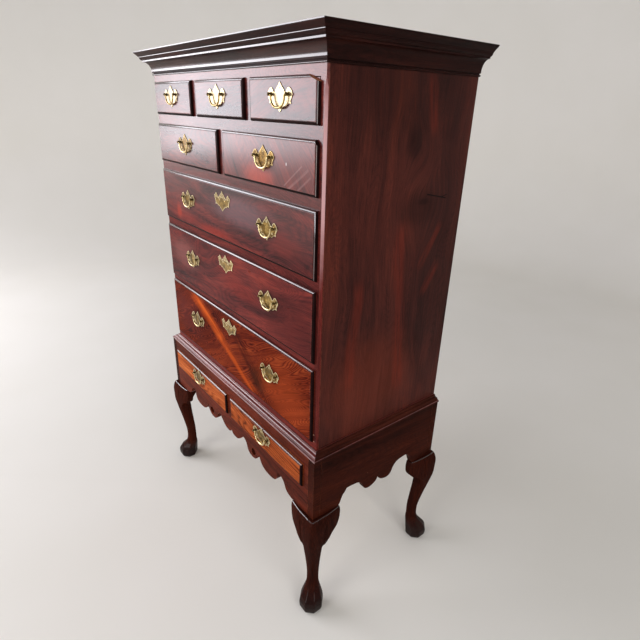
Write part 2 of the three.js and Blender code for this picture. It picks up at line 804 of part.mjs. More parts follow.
// Sides with dovetails, back and bottom of a drawer
function drawerBox(sizes) {
  const { length, boxHalf, boxFoot, boxTop } = sizes;
  const front = frontThickness + seatGap;
  const back = frontThickness + length;
  const parts = [-1, 1].flatMap((side) => {
    const inner = side * (boxHalf - drawerBoard);
    const outer = side * boxHalf;
    const [low, high] = [Math.min(inner, outer), Math.max(inner, outer)];
    const tails = tailOutlines(boxFoot, boxTop - boxFoot, 0).map((shape) => prismAlongX(shape, low, high));
    return [block(low, high, front, back, boxFoot, boxTop), ...tails];
  });
  const insideHalf = boxHalf - drawerBoard + weldLap;
  const floor = boxFoot + drawerBottomRise;
  parts.push(block(-insideHalf, insideHalf, back - drawerBoard, back, boxFoot, boxTop - drawerBackDrop));
  parts.push(block(-insideHalf, insideHalf, front, back - weldLap, floor, floor + drawerBottom));
  return join(...parts);
}

// Outline of a brass plate about the middle between its posts
function plateOutline(half, top, foot) {
  const place = ([x, z]) => [x * half, z > 0 ? z * top : z * foot];
  const right = plateShares.map(place);
  const left = right.map(([x, z]) => [-x, z]).reverse();
  const shape = new THREE.Shape();
  shape.moveTo(0, top);
  [...right, [0, -foot], ...left].forEach(([x, z]) => shape.lineTo(x, z));
  return shape;
}

// Back plate with its two posts, bored across for the bail's ends
function handlePlate() {
  const outline = plateOutline(plateWidth / 2, plateTop, plateDrop);
  const plate = prismAlongY(outline, -seatGap - plateThickness, -seatGap);
  const collarTop = seatGap + plateThickness * 2;
  const profile = [
    [0, seatGap],
    [postCollar, seatGap],
    [postShank, collarTop],
    [postShank, pivotStand - postHead],
    [postHead, pivotStand - postHead / 2],
    [postHead, pivotStand + postHead / 2],
    [0, pivotStand + postTip],
  ].map(([radius, out]) => new THREE.Vector2(radius, -out));
  const bore = new THREE.CylinderGeometry(boreRadius, boreRadius, 2 * (postHead + cutOverrun), postSides);
  bore.rotateZ(Math.PI / 2);
  bore.translate(0, -pivotStand, 0);
  const boreTool = solidOf(bore);
  const post = cut(solidOf(new THREE.LatheGeometry(profile, postSides)), boreTool);
  const posts = [-1, 1].map((side) => post.translate([(side * postSpacing) / 2, 0, 0]));
  return join(plate, ...posts);
}

// Bail: a bent bar, thickest at its middle, whose ends turn out through the posts. Its axis is x at
// the origin
function bail() {
  const pinEnd = postSpacing / 2 + postHead;
  const bend = bailRadius;
  const halfPath = [
    { x: pinEnd, z: 0, radius: pinRadius },
    { x: bailReach + 1.5 * bend, z: 0, radius: pinRadius },
    { x: bailReach + bend / 2, z: -bend / 2, radius: (pinRadius + bailRadius) / 2 },
  ];
  const curveSteps = 5;
  for (let step = 1; step <= curveSteps; step += 1) {
    const angle = (step * Math.PI) / 2 / curveSteps;
    const shape = Math.cos(angle) ** 0.75;
    const radius = bailRadius + (bailMiddleRadius - bailRadius) * Math.sin(angle) ** 2;
    halfPath.push({ x: bailReach * shape, z: -bend - (bailDrop - bend) * Math.sin(angle), radius });
  }
  halfPath[halfPath.length - 1].x = 0;
  const path = [...halfPath, ...halfPath.slice(0, -1).reverse().map((at) => ({ ...at, x: -at.x }))];
  const rings = path.map((at, i) => {
    const before = path[Math.max(i - 1, 0)];
    const after = path[Math.min(i + 1, path.length - 1)];
    const along = new THREE.Vector3(after.x - before.x, 0, after.z - before.z).normalize();
    const across = new THREE.Vector3(-along.z, 0, along.x);
    return Array.from({ length: bailSides }, (_, k) => {
      const angle = (k * 2 * Math.PI) / bailSides;
      return new THREE.Vector3(at.x, 0, at.z)
        .addScaledVector(across, at.radius * Math.cos(angle))
        .add(new THREE.Vector3(0, at.radius * Math.sin(angle), 0));
    });
  });
  return loft(rings);
}

// Drawers: a front, a box and one or two handles, all in a group at the middle of the opening
function drawerGroup({ name, x, z, face, width, height, length, handlePlaces, rise, locked }) {
  const sizes = drawerSizes(width, height, length);
  const group = new THREE.Group();
  group.position.set(x, face, z);
  const escutcheonHeight = locked ? height / 2 + railLip - escutcheonDrop : null;
  group.add(pieceOf(`drawer_front_${name}`, drawerFront(sizes, escutcheonHeight), frontFinish()));
  group.add(pieceOf(`drawer_box_${name}`, drawerBox(sizes), insideFinish()));
  handlePlaces.forEach(([suffix, offset]) => {
    const handle = new THREE.Group();
    handle.position.set(offset, -lipStand, rise);
    handle.add(pieceOf(`handle_plate_${name}${suffix}`, handlePlate(), brassFinish()));
    const swinging = pieceOf(`bail_${name}${suffix}`, bail(), brassFinish());
    swinging.position.set(0, -pivotStand, 0);
    handle.add(swinging);
    group.add(handle);
  });
  return group;
}

function drawerRow({ names, half, divider, foot, height, face, length, rise, locked }) {
  const width = (2 * half - (names.length - 1) * divider) / names.length;
  const handlePlaces = locked ? [['_left', -longHandleOffset], ['_right', longHandleOffset]] : [['', 0]];
  return names.map((name, i) => drawerGroup({
    name,
    x: i * (width + divider) + width / 2 - half,
    z: foot + height / 2,
    face,
    width,
    height: height - 2 * railLip,
    length,
    handlePlaces,
    rise,
    locked,
  }));
}

const chestRow = (names, divider, foot, height, rise, locked) => drawerRow({
  names,
  half: openingHalf,
  divider,
  foot,
  height,
  face: 0,
  length: chestDrawerLength,
  rise,
  locked,
});

// Whole piece, with the chest's front at y = 0 until it is centred
const highboy = new THREE.Group();
const legPoints = legSectionShares.flatMap(legSection);
const legReach = Math.max(...legPoints.map((point) => point.y));
const standReach = standFrontStep + Math.max(lipStand + pivotStand + postTip, legReach - legInset);
const frontReach = Math.max(corniceProjection, standReach);
const backReach = chestDepth - legInset + legReach;
highboy.position.y = (frontReach - backReach) / 2;

const chest = new THREE.Group();
chest.add(pieceOf('upper_side_left', sideBoard(-1), caseFinish()));
chest.add(pieceOf('upper_side_right', sideBoard(1), caseFinish()));
chest.add(pieceOf('upper_back', chestBack(), insideFinish()));
chest.add(pieceOf('upper_drawer_frame', drawerFrame(), caseFinish()));
chest.add(pieceOf('cornice', cornice(), caseFinish()));
chest.add(pieceOf('waist_moulding', waistMoulding(), standFinish()));
const trioNames = ['top_left', 'top_middle', 'top_right'];
const pairNames = ['pair_left', 'pair_right'];
[
  chestRow(trioNames, trioDivider, trioDrawerFoot, trioDrawerHeight, handleRise, false),
  chestRow(pairNames, pairDivider, pairDrawerFoot, pairDrawerHeight, handleRise, false),
  chestRow(['long_upper'], 0, upperDrawerFoot, upperDrawerHeight, handleRise, true),
  chestRow(['long_middle'], 0, middleDrawerFoot, middleDrawerHeight, lowHandleRise, true),
  chestRow(['long_lower'], 0, lowerDrawerFoot, lowerDrawerHeight, lowHandleRise, true),
].flat().forEach((drawer) => chest.add(drawer));
highboy.add(chest);

const stand = new THREE.Group();
stand.add(pieceOf('stand_front', standFrontBoard(), standFinish()));
[['left', -1], ['right', 1]].forEach(([name, side]) => {
  const { solid, middle } = standSideBoard(side);
  const board = pieceOf(`stand_side_${name}`, solid, standFinish());
  board.position.y = middle;
  stand.add(board);
});
stand.add(pieceOf('stand_back', standBack(), insideFinish()));
const legPlaces = [
  ['front_left', -1, -1],
  ['front_right', 1, -1],
  ['back_left', -1, 1],
  ['back_right', 1, 1],
];
legPlaces.forEach(([name, sideX, sideY]) => {
  const leg = pieceOf(`leg_${name}`, cabrioleLeg(sideX, sideY), legFinish());
  const face = sideY > 0 ? chestDepth : standFront;
  leg.position.set(sideX * (standHalf - legInset), face - sideY * legInset, 0);
  stand.add(leg);
});
drawerRow({
  names: ['stand_left', 'stand_right'],
  half: standOpeningHalf,
  divider: standDivider,
  foot: standOpeningFoot - railLip,
  height: standDrawerHeight,
  face: standFront,
  length: standDrawerLength,
  rise: lowHandleRise,
  locked: false,
}).forEach((drawer) => stand.add(drawer));
highboy.add(stand);

export default highboy;
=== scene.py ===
import json
import random
from math import atan2, cos, dist, radians, sin, tau

import bmesh
import bpy
from mathutils import Matrix, Vector
from mathutils.kdtree import KDTree


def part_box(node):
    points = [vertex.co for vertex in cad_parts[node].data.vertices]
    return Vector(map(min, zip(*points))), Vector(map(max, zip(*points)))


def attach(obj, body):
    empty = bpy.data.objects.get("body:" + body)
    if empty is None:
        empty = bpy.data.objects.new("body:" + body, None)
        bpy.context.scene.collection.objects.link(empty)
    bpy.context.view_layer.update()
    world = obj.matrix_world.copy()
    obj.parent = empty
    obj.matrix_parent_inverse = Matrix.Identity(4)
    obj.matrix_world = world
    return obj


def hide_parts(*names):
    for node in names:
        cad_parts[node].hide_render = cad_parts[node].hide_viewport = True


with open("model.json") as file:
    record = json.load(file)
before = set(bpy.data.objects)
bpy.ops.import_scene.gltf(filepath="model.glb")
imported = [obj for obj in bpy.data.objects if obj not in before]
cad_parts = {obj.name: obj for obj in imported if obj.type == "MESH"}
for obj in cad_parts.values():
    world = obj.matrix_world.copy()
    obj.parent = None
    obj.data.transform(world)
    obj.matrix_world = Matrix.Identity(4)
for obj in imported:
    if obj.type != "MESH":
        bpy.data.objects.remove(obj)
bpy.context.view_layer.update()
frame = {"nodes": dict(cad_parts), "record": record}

# Highboy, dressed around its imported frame. Metres, +Z up, the drawers face -Y.
scene = bpy.context.scene
scene.view_settings.view_transform = "Standard"
millimetre = 0.001
seatGap = 0.3 * millimetre  # the frame's own gap between pieces that rest on each other
mergeReach = 0.01 * millimetre  # points nearer than this are one

chestLow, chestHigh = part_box("upper_drawer_frame")
chestFront, chestHalf = chestLow.y, chestHigh.x
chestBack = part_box("upper_side_left")[1].y
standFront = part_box("stand_front")[0].y
bodyOf = {node: body for body, nodes in frame["record"]["behaviour"]["bodies"].items() for node in nodes}


def linkObject(name, data):
    piece = bpy.data.objects.new(name, data)
    scene.collection.objects.link(piece)
    return piece


# Camera, set from the photograph's recovered perspective

camera = {
    "place": (1.37703, -0.96330, 1.57120),
    "yaw": 0.8957,
    "pitch": 0.4157,
    "roll": 0.0284,
    "lens": 27.13,
    "sensor": 36.0,
    "clip": (0.05, 60),
}


def buildCamera():
    lens = bpy.data.cameras.new("photo_camera")
    lens.lens = camera["lens"]
    lens.sensor_width = camera["sensor"]
    lens.clip_start, lens.clip_end = camera["clip"]
    holder = linkObject("photo_camera", lens)
    holder.matrix_world = (
        Matrix.Translation(camera["place"]) @ Matrix.Rotation(camera["yaw"], 4, "Z")
        @ Matrix.Rotation(radians(90) - camera["pitch"], 4, "X") @ Matrix.Rotation(camera["roll"], 4, "Z")
    )
    scene.camera = holder


buildCamera()
print("camera set")


# Shader values: sums and products of fields become nodes

def addNode(tree, kind, inputs, **settings):
    node = tree.nodes.new(kind)
    for key, value in settings.items():
        setattr(node, key, value)
    for key, value in inputs.items():
        if isinstance(value, Field):
            tree.links.new(value.socket, node.inputs[key])
        else:
            node.inputs[key].default_value = value
    return node


class Field:
    def __init__(self, tree, socket):
        self.tree, self.socket = tree, socket

    def feed(self, kind, inputs, output=0, **settings):
        # An output of a new node in the same tree
        return Field(self.tree, addNode(self.tree, kind, inputs, **settings).outputs[output])

    def calc(self, operation, first, second=0.0):
        return self.feed("ShaderNodeMath", {0: first, 1: second}, operation=operation)

    def vector(self, operation, other):
        slot = "Scale" if operation == "SCALE" else 1
        return self.feed("ShaderNodeVectorMath", {0: self, slot: other}, operation=operation)

    def sine(self):
        return self.calc("SINE", self)

    def __abs__(self):
        return self.calc("ABSOLUTE", self)

    def __add__(self, other):
        return self.calc("ADD", self, other)

    def __sub__(self, other):
        return self.calc("SUBTRACT", self, other)

    def __rsub__(self, other):
        return self.calc("SUBTRACT", other, self)

    def __mul__(self, other):
        return self.calc("MULTIPLY", self, other)


def linear(tone):
    # Screen colour in 0 to 255 as the shader's own values
    return tuple(((c / 255 + 0.055) / 1.055) ** 2.4 if c > 10 else c / 255 / 12.92 for c in tone)


def stretchPlace(place, offset=(0, 0, 0), turn=(0, 0, 0), scale=(1, 1, 1)):
    return place.feed("ShaderNodeMapping", {
        "Vector": place, "Location": offset, "Rotation": turn, "Scale": scale,
    })


def noiseField(place, scale, detail=2.0, roughness=0.5, stretch=1):
    # Noise, drawn out along x where the stretch is under 1
    vector = place if stretch == 1 else stretchPlace(place, scale=(stretch, 1, 1))
    return place.feed("ShaderNodeTexNoise", {
        "Vector": vector, "Scale": scale, "Detail": detail, "Roughness": roughness,
    }, "Fac")


def softStep(value, low, high, least=0.0, most=1.0, kind="SMOOTHSTEP"):
    return value.feed("ShaderNodeMapRange", {
        "Value": value, "From Min": low, "From Max": high, "To Min": least, "To Max": most,
    }, interpolation_type=kind)


def axisOf(place, axis):
    return place.feed("ShaderNodeSeparateXYZ", {0: place}, axis)


def wearAndSheenEdge(place):
    return place.feed("ShaderNodeAttribute", {}, "Fac", attribute_name="worn")


def bumpOf(height, strength, distance, **under):
    return height.feed("ShaderNodeBump", {
        "Height": height, "Strength": strength, "Distance": distance, **under,
    })


def blendTones(tone, other, share, mode="MIX"):
    # The other is a field or a screen colour
    other = other if isinstance(other, Field) else (*linear(other), 1)
    return tone.feed("ShaderNodeMix", {0: share, 6: tone, 7: other}, 2, data_type="RGBA", blend_type=mode)


def toneRamp(value, stops, tones):
    node = addNode(value.tree, "ShaderNodeValToRGB", {"Fac": value})
    elements = node.color_ramp.elements
    while len(elements) < len(stops):
        elements.new(0.5)
    for element, stop, tone in zip(elements, stops, tones):
        element.position = stop
        element.color = (*linear(tone), 1)
    return Field(value.tree, node.outputs[0])


def weigh(parts):
    # Sum about one half of fields, each with its share and its own middle
    total = 0.5
    for field, share, middle in parts:
        total = (field - middle) * share + total
    return total


def reachFrom(place, centre, radii):
    # Distance from a centre, 1 where it equals the radii
    offset = tuple(-c / r for c, r in zip(centre, radii))
    scaled = stretchPlace(place, offset, scale=tuple(1 / r for r in radii))
    return scaled.feed("ShaderNodeVectorMath", {0: scaled}, "Value", operation="LENGTH")


def newMaterial(name):
    # An empty material, with the place on its piece as a field
    material = bpy.data.materials.new(name)
    material.use_nodes = True
    tree = material.node_tree
    tree.nodes.clear()
    return material, Field(tree, addNode(tree, "ShaderNodeTexCoord", {}).outputs["Object"])


def shadeWith(place, inputs):
    shader = place.feed("ShaderNodeBsdfPrincipled", inputs)
    addNode(place.tree, "ShaderNodeOutputMaterial", {"Surface": shader})


# Polished wood: figure drawn by the level lines of a stretched noise, patches of tone, pores, clouded polish

grainTurns = {
    "upright": (0, radians(90), 0),  # grain runs up the board
    "level": (0, 0, 0),  # grain runs from left to right
    "deep": (0, 0, radians(90)),  # grain runs from front to back
}
woodStops = (0.25, 0.42, 0.58, 0.80)
woodNoises = {
    # scale, detail, roughness and stretch along the grain
    "hills": (7.0, 2.0, 0.45, 0.14),  # the figure follows their level lines
    "fine": (190.0, 3.0, 0.6, 0.03),
    "streaks": (42.0, 3.0, 0.6, 0.05),
    "patches": (3.0, 0.5, 0.22),  # their scale is the look's own
    "pores": (520.0, 1.0, 0.5, 0.045),
    "smears": (60.0, 3.0, 0.6, 0.2),
    "clouds": (9.0, 4.0, 0.6),
    "speckle": (340.0, 2.0, 0.6),
    "rubbing": (38.0, 3.0, 0.6),
    "waves": (4.0, 1.0),
}
plainLook = {
    "offset": (0, 0, 0),
    "tilt": (0, 0, 0),
    "knots": [],
    "marks": [],
    "drift": 0.12,
    "rings": 190.0,
    "figure": 0.10,
    "patches": 1.0,
    "patchScale": 7.0,
    "streaks": 0.7,
    "pores": 0.4,
    "wear": 0.6,
    "relief": 0.22,
    "sway": 0.3,
    "shine": 0.5,
    "coatSpan": None,  # heights between which the coat grows from its least to its full weight
    "coatLeast": 0.0,
    "coatRough": 0.2,
}


def partTheGrain(place, knots):
    # Grain that flows round each knot, given by its centre, radius and push
    moved = place
    for centre, radius, push in knots:
        near = 1 - softStep(reachFrom(place, centre, (radius,) * 3), 0.0, 1.0)
        away = place.vector("SUBTRACT", centre)
        moved = moved.vector("SUBTRACT", away.vector("SCALE", near * push))
    return moved


def polishedWood(name, settings):
    look = {**plainLook, **settings}
    material, place = newMaterial(name)
    along = stretchPlace(partTheGrain(place, look["knots"]), look["offset"], grainTurns[look["grain"]])
    tilted = stretchPlace(along, turn=look["tilt"])
    drift = tilted.feed("ShaderNodeTexNoise", {
        "Vector": stretchPlace(tilted, scale=(0.5, 1, 1)), "Scale": 3.2, "Detail": 2.0,
    }, "Color")
    shift = drift.vector("SUBTRACT", (0.5, 0.5, 0.5)).vector("SCALE", look["drift"])
    wandering = tilted.vector("ADD", shift)

    hills, fine, streaks, pits = (
        noiseField(wandering, *woodNoises[part]) for part in ("hills", "fine", "streaks", "pores")
    )
    speckle, rubbing, clouds, waves = (
        noiseField(place, *woodNoises[part]) for part in ("speckle", "rubbing", "clouds", "waves")
    )
    smears = noiseField(along, *woodNoises["smears"])
    patches = noiseField(wandering, look["patchScale"], *woodNoises["patches"])
    lines = abs((hills * look["rings"]).sine())
    weight = weigh([
        (patches, look["patches"], 0.5), (streaks, look["streaks"], 0.5), (lines, look["figure"], 0.64),
        (fine, 0.35, 0.5), (speckle, 0.3, 0.5),
    ])
    tone = toneRamp(weight, woodStops, look["tones"])

    pores = softStep(pits, 0.6, 0.72)
    tone = blendTones(tone, look["shade"], pores * look["pores"])
    for mark in look["marks"]:
        tone = mark(place, tone)
    rubbed = wearAndSheenEdge(place) * softStep(rubbing, 0.38, 0.62)
    tone = blendTones(tone, look["bare"], rubbed * look["wear"])

    polish = weigh([(clouds, 0.6, 0.5), (smears, 0.4, 0.5)])
    height = weigh([(fine, 0.35, 0.5), (pores, -0.6, 0.5), (hills, 1.2, 0.5)])
    grainBump = bumpOf(height, look["relief"], 0.0006)
    coat = look["coat"]
    if look["coatSpan"]:
        coat = softStep(axisOf(place, 2), *look["coatSpan"], look["coatLeast"], coat)
    shadeWith(place, {
        "Base Color": tone,
        "Roughness": softStep(polish, 0.3, 0.7, *look["gloss"], kind="LINEAR"),
        "Normal": bumpOf(waves, look["sway"], 0.004, Normal=grainBump),
        "Specular IOR Level": look["shine"],
        "Coat Weight": coat,
        "Coat Roughness": look["coatRough"],
        "Coat IOR": 1.5,
    })
    return material


# Marks in the wood: bands and spots of another tone

def streakBetween(start, end, width, tone, strength, side=False, bend=1.6, fibrous=1.0):
    # From one point to another, given as x and z on a front or as y and z on a side
    def paint(place, under):
        length = dist(start, end)
        alongFlat, alongZ = (end[0] - start[0]) / length, (end[1] - start[1]) / length
        angle = atan2(alongZ, alongFlat)
        turn, stretch = ((-angle, 0, 0), (1, 0.06, 1)) if side else ((0, angle, 0), (0.06, 1, 1))
        fromStart = axisOf(place, 1 if side else 0) - start[0]
        fromFoot = axisOf(place, 2) - start[1]
        sway = (noiseField(place, 4.5) - 0.5) * (width * bend)
        across = fromStart * -alongZ + fromFoot * alongFlat
        run = fromStart * alongFlat + fromFoot * alongZ
        within = 1 - softStep(abs(run - length / 2) - length / 2, -width, width)
        near = within * (1 - softStep(abs(across + sway), width * 0.25, width))
        fibres = noiseField(stretchPlace(stretchPlace(place, turn=turn), scale=stretch), 90.0, 3.0, 0.6)
        broken = softStep(fibres, 0.6, 0.25) * fibrous
        return blendTones(under, tone, near * (1 - broken) * strength)
    return paint


def spotAt(centre, radii, tone, strength, ragged=0.35):
    def paint(place, under):
        reach = reachFrom(place, centre, radii) + noiseField(place, 30.0, 4.0, 0.6) * ragged
        return blendTones(under, tone, (1 - softStep(reach, 0.45, 1.25)) * strength)
    return paint


def sideStreak(start, end, width, tone, strength, **more):
    # Ends by their depth behind the chest's front and their height. All marks' sizes are in mm
    places = [(chestFront + depth * millimetre, height * millimetre) for depth, height in (start, end)]
    return streakBetween(*places, width * millimetre, tone, strength, side=True, **more)


def sideSpot(depth, height, wide, tall, tone, strength):
    centre = (chestHalf, chestFront + depth * millimetre, height * millimetre)
    return spotAt(centre, (0.03, wide * millimetre, tall * millimetre), tone, strength)


def frontStreak(start, end, width, tone, strength, **more):
    places = [(x * millimetre, height * millimetre) for x, height in (start, end)]
    return streakBetween(*places, width * millimetre, tone, strength, **more)


def frontPlace(x, height):
    return (x * millimetre, chestFront - 0.01, height * millimetre)


def frontSpot(x, height, wide, tall, tone, strength):
    return spotAt(frontPlace(x, height), (wide * millimetre, 0.05, tall * millimetre), tone, strength)


def frontKnot(x, height, radius, push):
    return (frontPlace(x, height), radius * millimetre, push)


darkShade = (26, 11, 10)
redStreak = (150, 50, 30)
crack = {"tone": (6, 3, 3), "bend": 1.2, "fibrous": 0.2}
nailHead = (232, 190, 164)
polishSpan = (1.15, 1.42)  # heights between which the polish comes to its full gloss
caseLook = {
    "grain": "upright", "offset": (0.3, 0.1, 0.7),
    "tones": [(40, 17, 14), (68, 31, 26), (88, 40, 32), (118, 52, 37)], "shade": darkShade,
    "bare": (150, 84, 58), "gloss": (0.40, 0.56), "shine": 0.08, "coat": 0.0, "rings": 210.0,
    "figure": 0.07, "patches": 0.8, "patchScale": 5.0, "streaks": 0.45,
    "knots": [
        ((chestHalf, chestFront + 0.302, 1.491), 0.14, 0.75),
        ((chestHalf, chestFront + 0.356, 1.338), 0.19, 0.85),
    ],
    "marks": [
        sideSpot(260, 1640, 360, 230, (26, 9, 7), 0.55),
        sideSpot(440, 1200, 130, 500, (44, 22, 20), 0.4),
        sideSpot(200, 800, 240, 220, (140, 58, 34), 0.3),
        sideSpot(302, 1491, 38, 56, darkShade, 0.6),
        sideSpot(346, 1322, 105, 66, darkShade, 0.5),
        sideSpot(356, 1338, 30, 12, (10, 5, 5), 0.45),
        sideStreak((368, 1357), (452, 1341), 2.8, strength=1.0, **crack),
        sideStreak((430, 1345), (456, 1351), 2.2, strength=0.9, **crack),
        sideStreak((337, 1652), (366, 1517), 24, redStreak, 0.22),
        sideStreak((274, 1276), (323, 750), 34, redStreak, 0.26),
        sideStreak((127, 1138), (116, 825), 28, redStreak, 0.24),
        sideStreak((442, 1262), (373, 1145), 20, redStreak, 0.2),
        sideStreak((447, 1144), (395, 1060), 20, redStreak, 0.2),
        sideStreak((373, 956), (400, 800), 40, darkShade, 0.4),
        sideSpot(440, 760, 40, 60, darkShade, 0.3),
    ],
}
railLook = {
    **caseLook, "grain": "level",
    "tones": [(56, 20, 19), (88, 33, 30), (112, 44, 38), (140, 59, 48)], "shine": 0.03,
    "gloss": (0.26, 0.4), "coat": 1.0, "coatSpan": polishSpan, "streaks": 0.6, "knots": [],
    "marks": [
        # A dark band down the facing beside the drawers, in its lower part: painted shade
        frontStreak((476, 690), (476, 1150), 14, (52, 16, 13), 0.55, bend=0.3, fibrous=0.3),
        frontSpot(474, 697, 2.8, 2.8, nailHead, 0.9),
        frontSpot(475, 674, 2.6, 2.6, nailHead, 0.9),
    ],
}
corniceLook = {
    **railLook, "marks": [],
    "offset": (0.6, 0.2, 0.3), "tones": [(24, 11, 10), (40, 19, 16), (54, 25, 20), (76, 35, 27)],
    "shine": 0.05, "coat": 0.8, "coatSpan": (1.702, 1.664),
}
# The cornice's sides: darker tones than its front, painted shade, and no coat
corniceReturnShadeLook = {
    **corniceLook, "grain": "deep",
    "tones": [(19, 9, 8), (31, 15, 13), (43, 20, 17), (62, 29, 23)], "coat": 0.0, "shine": 0.04,
}
standLook = {
    **caseLook, "grain": "deep",
    "offset": (0.9, 0.4, 0.2), "tones": [(26, 9, 5), (45, 16, 9), (61, 23, 13), (86, 34, 20)],
    "shine": 0.02, "wear": 0.15, "knots": [],
    "marks": [sideSpot(201, 478, 2.6, 2.6, (206, 130, 100), 0.9)],
}
# The waist moulding's sides: darker tones than its front, painted shade
waistReturnShadeLook = {**standLook, "tones": [(42, 18, 14), (66, 31, 23), (84, 40, 30), (108, 52, 38)]}
apronLook = {
    **railLook, "offset": (0.2, 0.5, 0.9),
    "tones": [(44, 17, 12), (74, 29, 19), (98, 39, 25), (124, 53, 34)], "shine": 0.015, "coat": 0.0,
    "marks": [],
}
legLook = {
    **caseLook, "offset": (0.1, 0.8, 0.3),
    "tones": [(28, 11, 7), (48, 18, 11), (66, 26, 15), (92, 38, 23)], "gloss": (0.2, 0.34),
    "shine": 0.0, "coat": 0.4, "coatLeast": 0.06, "coatSpan": (0.10, 0.05), "coatRough": 0.12,
    "relief": 0.08, "sway": 0.1, "patches": 0.55, "streaks": 0.28, "knots": [],
    # The legs darker towards the floor: painted shade
    "marks": [spotAt((0, 0, 0), (4.0, 4.0, 0.085), (16, 7, 6), 0.75, ragged=0.1)],
}
mirrorPolish = {
    "gloss": (0.2, 0.3), "shine": 0.5, "coat": 1.0, "coatSpan": None, "coatRough": 0.1,
    "relief": 0.0, "sway": 0.02, "pores": 0.1,
}
waistLook = {**railLook, **mirrorPolish, "coatRough": 0.28, "gloss": (0.3, 0.4), "sway": 0.0}
# The frame's chamfered corners: paler tones and a pale patch high up on them, a painted highlight
cornerHighlightLook = {
    **waistLook, "grain": "upright",
    "tones": [(66, 22, 19), (94, 32, 28), (116, 44, 38), (146, 70, 62)], "shine": 0.1,
    "coatSpan": polishSpan, "marks": [frontSpot(480, 1430, 60, 300, (224, 176, 178), 0.85)],
}
lipLook = {
    **railLook, **mirrorPolish,
    "offset": (0.9, 0.9, 0.1), "tones": [(34, 14, 14), (54, 22, 21), (74, 31, 27), (104, 45, 37)],
}
innerLook = {
    "grain": "deep", "tones": [(104, 76, 50), (142, 108, 74), (164, 129, 91), (188, 154, 114)],
    "shade": (86, 62, 42), "bare": (196, 164, 124), "gloss": (0.6, 0.8), "shine": 0.25, "coat": 0.0,
    "pores": 0.25, "wear": 0.3, "relief": 0.3,
}

caseWood = polishedWood("case_wood", caseLook)
railWood = polishedWood("rail_wood", railLook)
cornerHighlightWood = polishedWood("corner_wood", cornerHighlightLook)
lipWood = polishedWood("lip_wood", lipLook)
standLipWood = polishedWood("stand_lip_wood", {
    **lipLook, "tones": [(54, 24, 16), (86, 40, 24), (110, 54, 32), (140, 74, 44)],
})
# Near-black lip wood for the lips turned away from the light: painted shade
paintedShadeLipWood = polishedWood("shaded_lip_wood", {
    **apronLook, "tones": [(11, 5, 5), (19, 8, 8), (27, 11, 10), (40, 16, 14)], "shine": 0.02,
})
# Mouldings: along the front, along the sides in darker wood that paints their shade and, on the cornice, its
# upright fillets
corniceWoods = [
    polishedWood("cornice_wood", corniceLook),
    polishedWood("cornice_return_wood", corniceReturnShadeLook),
    polishedWood("cornice_fillet_wood", {**corniceLook, **mirrorPolish}),
]
waistWoods = [polishedWood("waist_wood", waistLook), polishedWood("waist_return_wood", waistReturnShadeLook)]
standWood = polishedWood("stand_wood", standLook)
apronWood = polishedWood("apron_wood", apronLook)
legWood = polishedWood("leg_wood", legLook)
legEdgeWood = polishedWood("leg_edge_wood", {**legLook, **mirrorPolish})
innerWood = polishedWood("inner_wood_dry", innerLook)
backWood = polishedWood("back_wood_dry", {**innerLook, "grain": "upright", "offset": (0.4, 0.2, 0.9)})

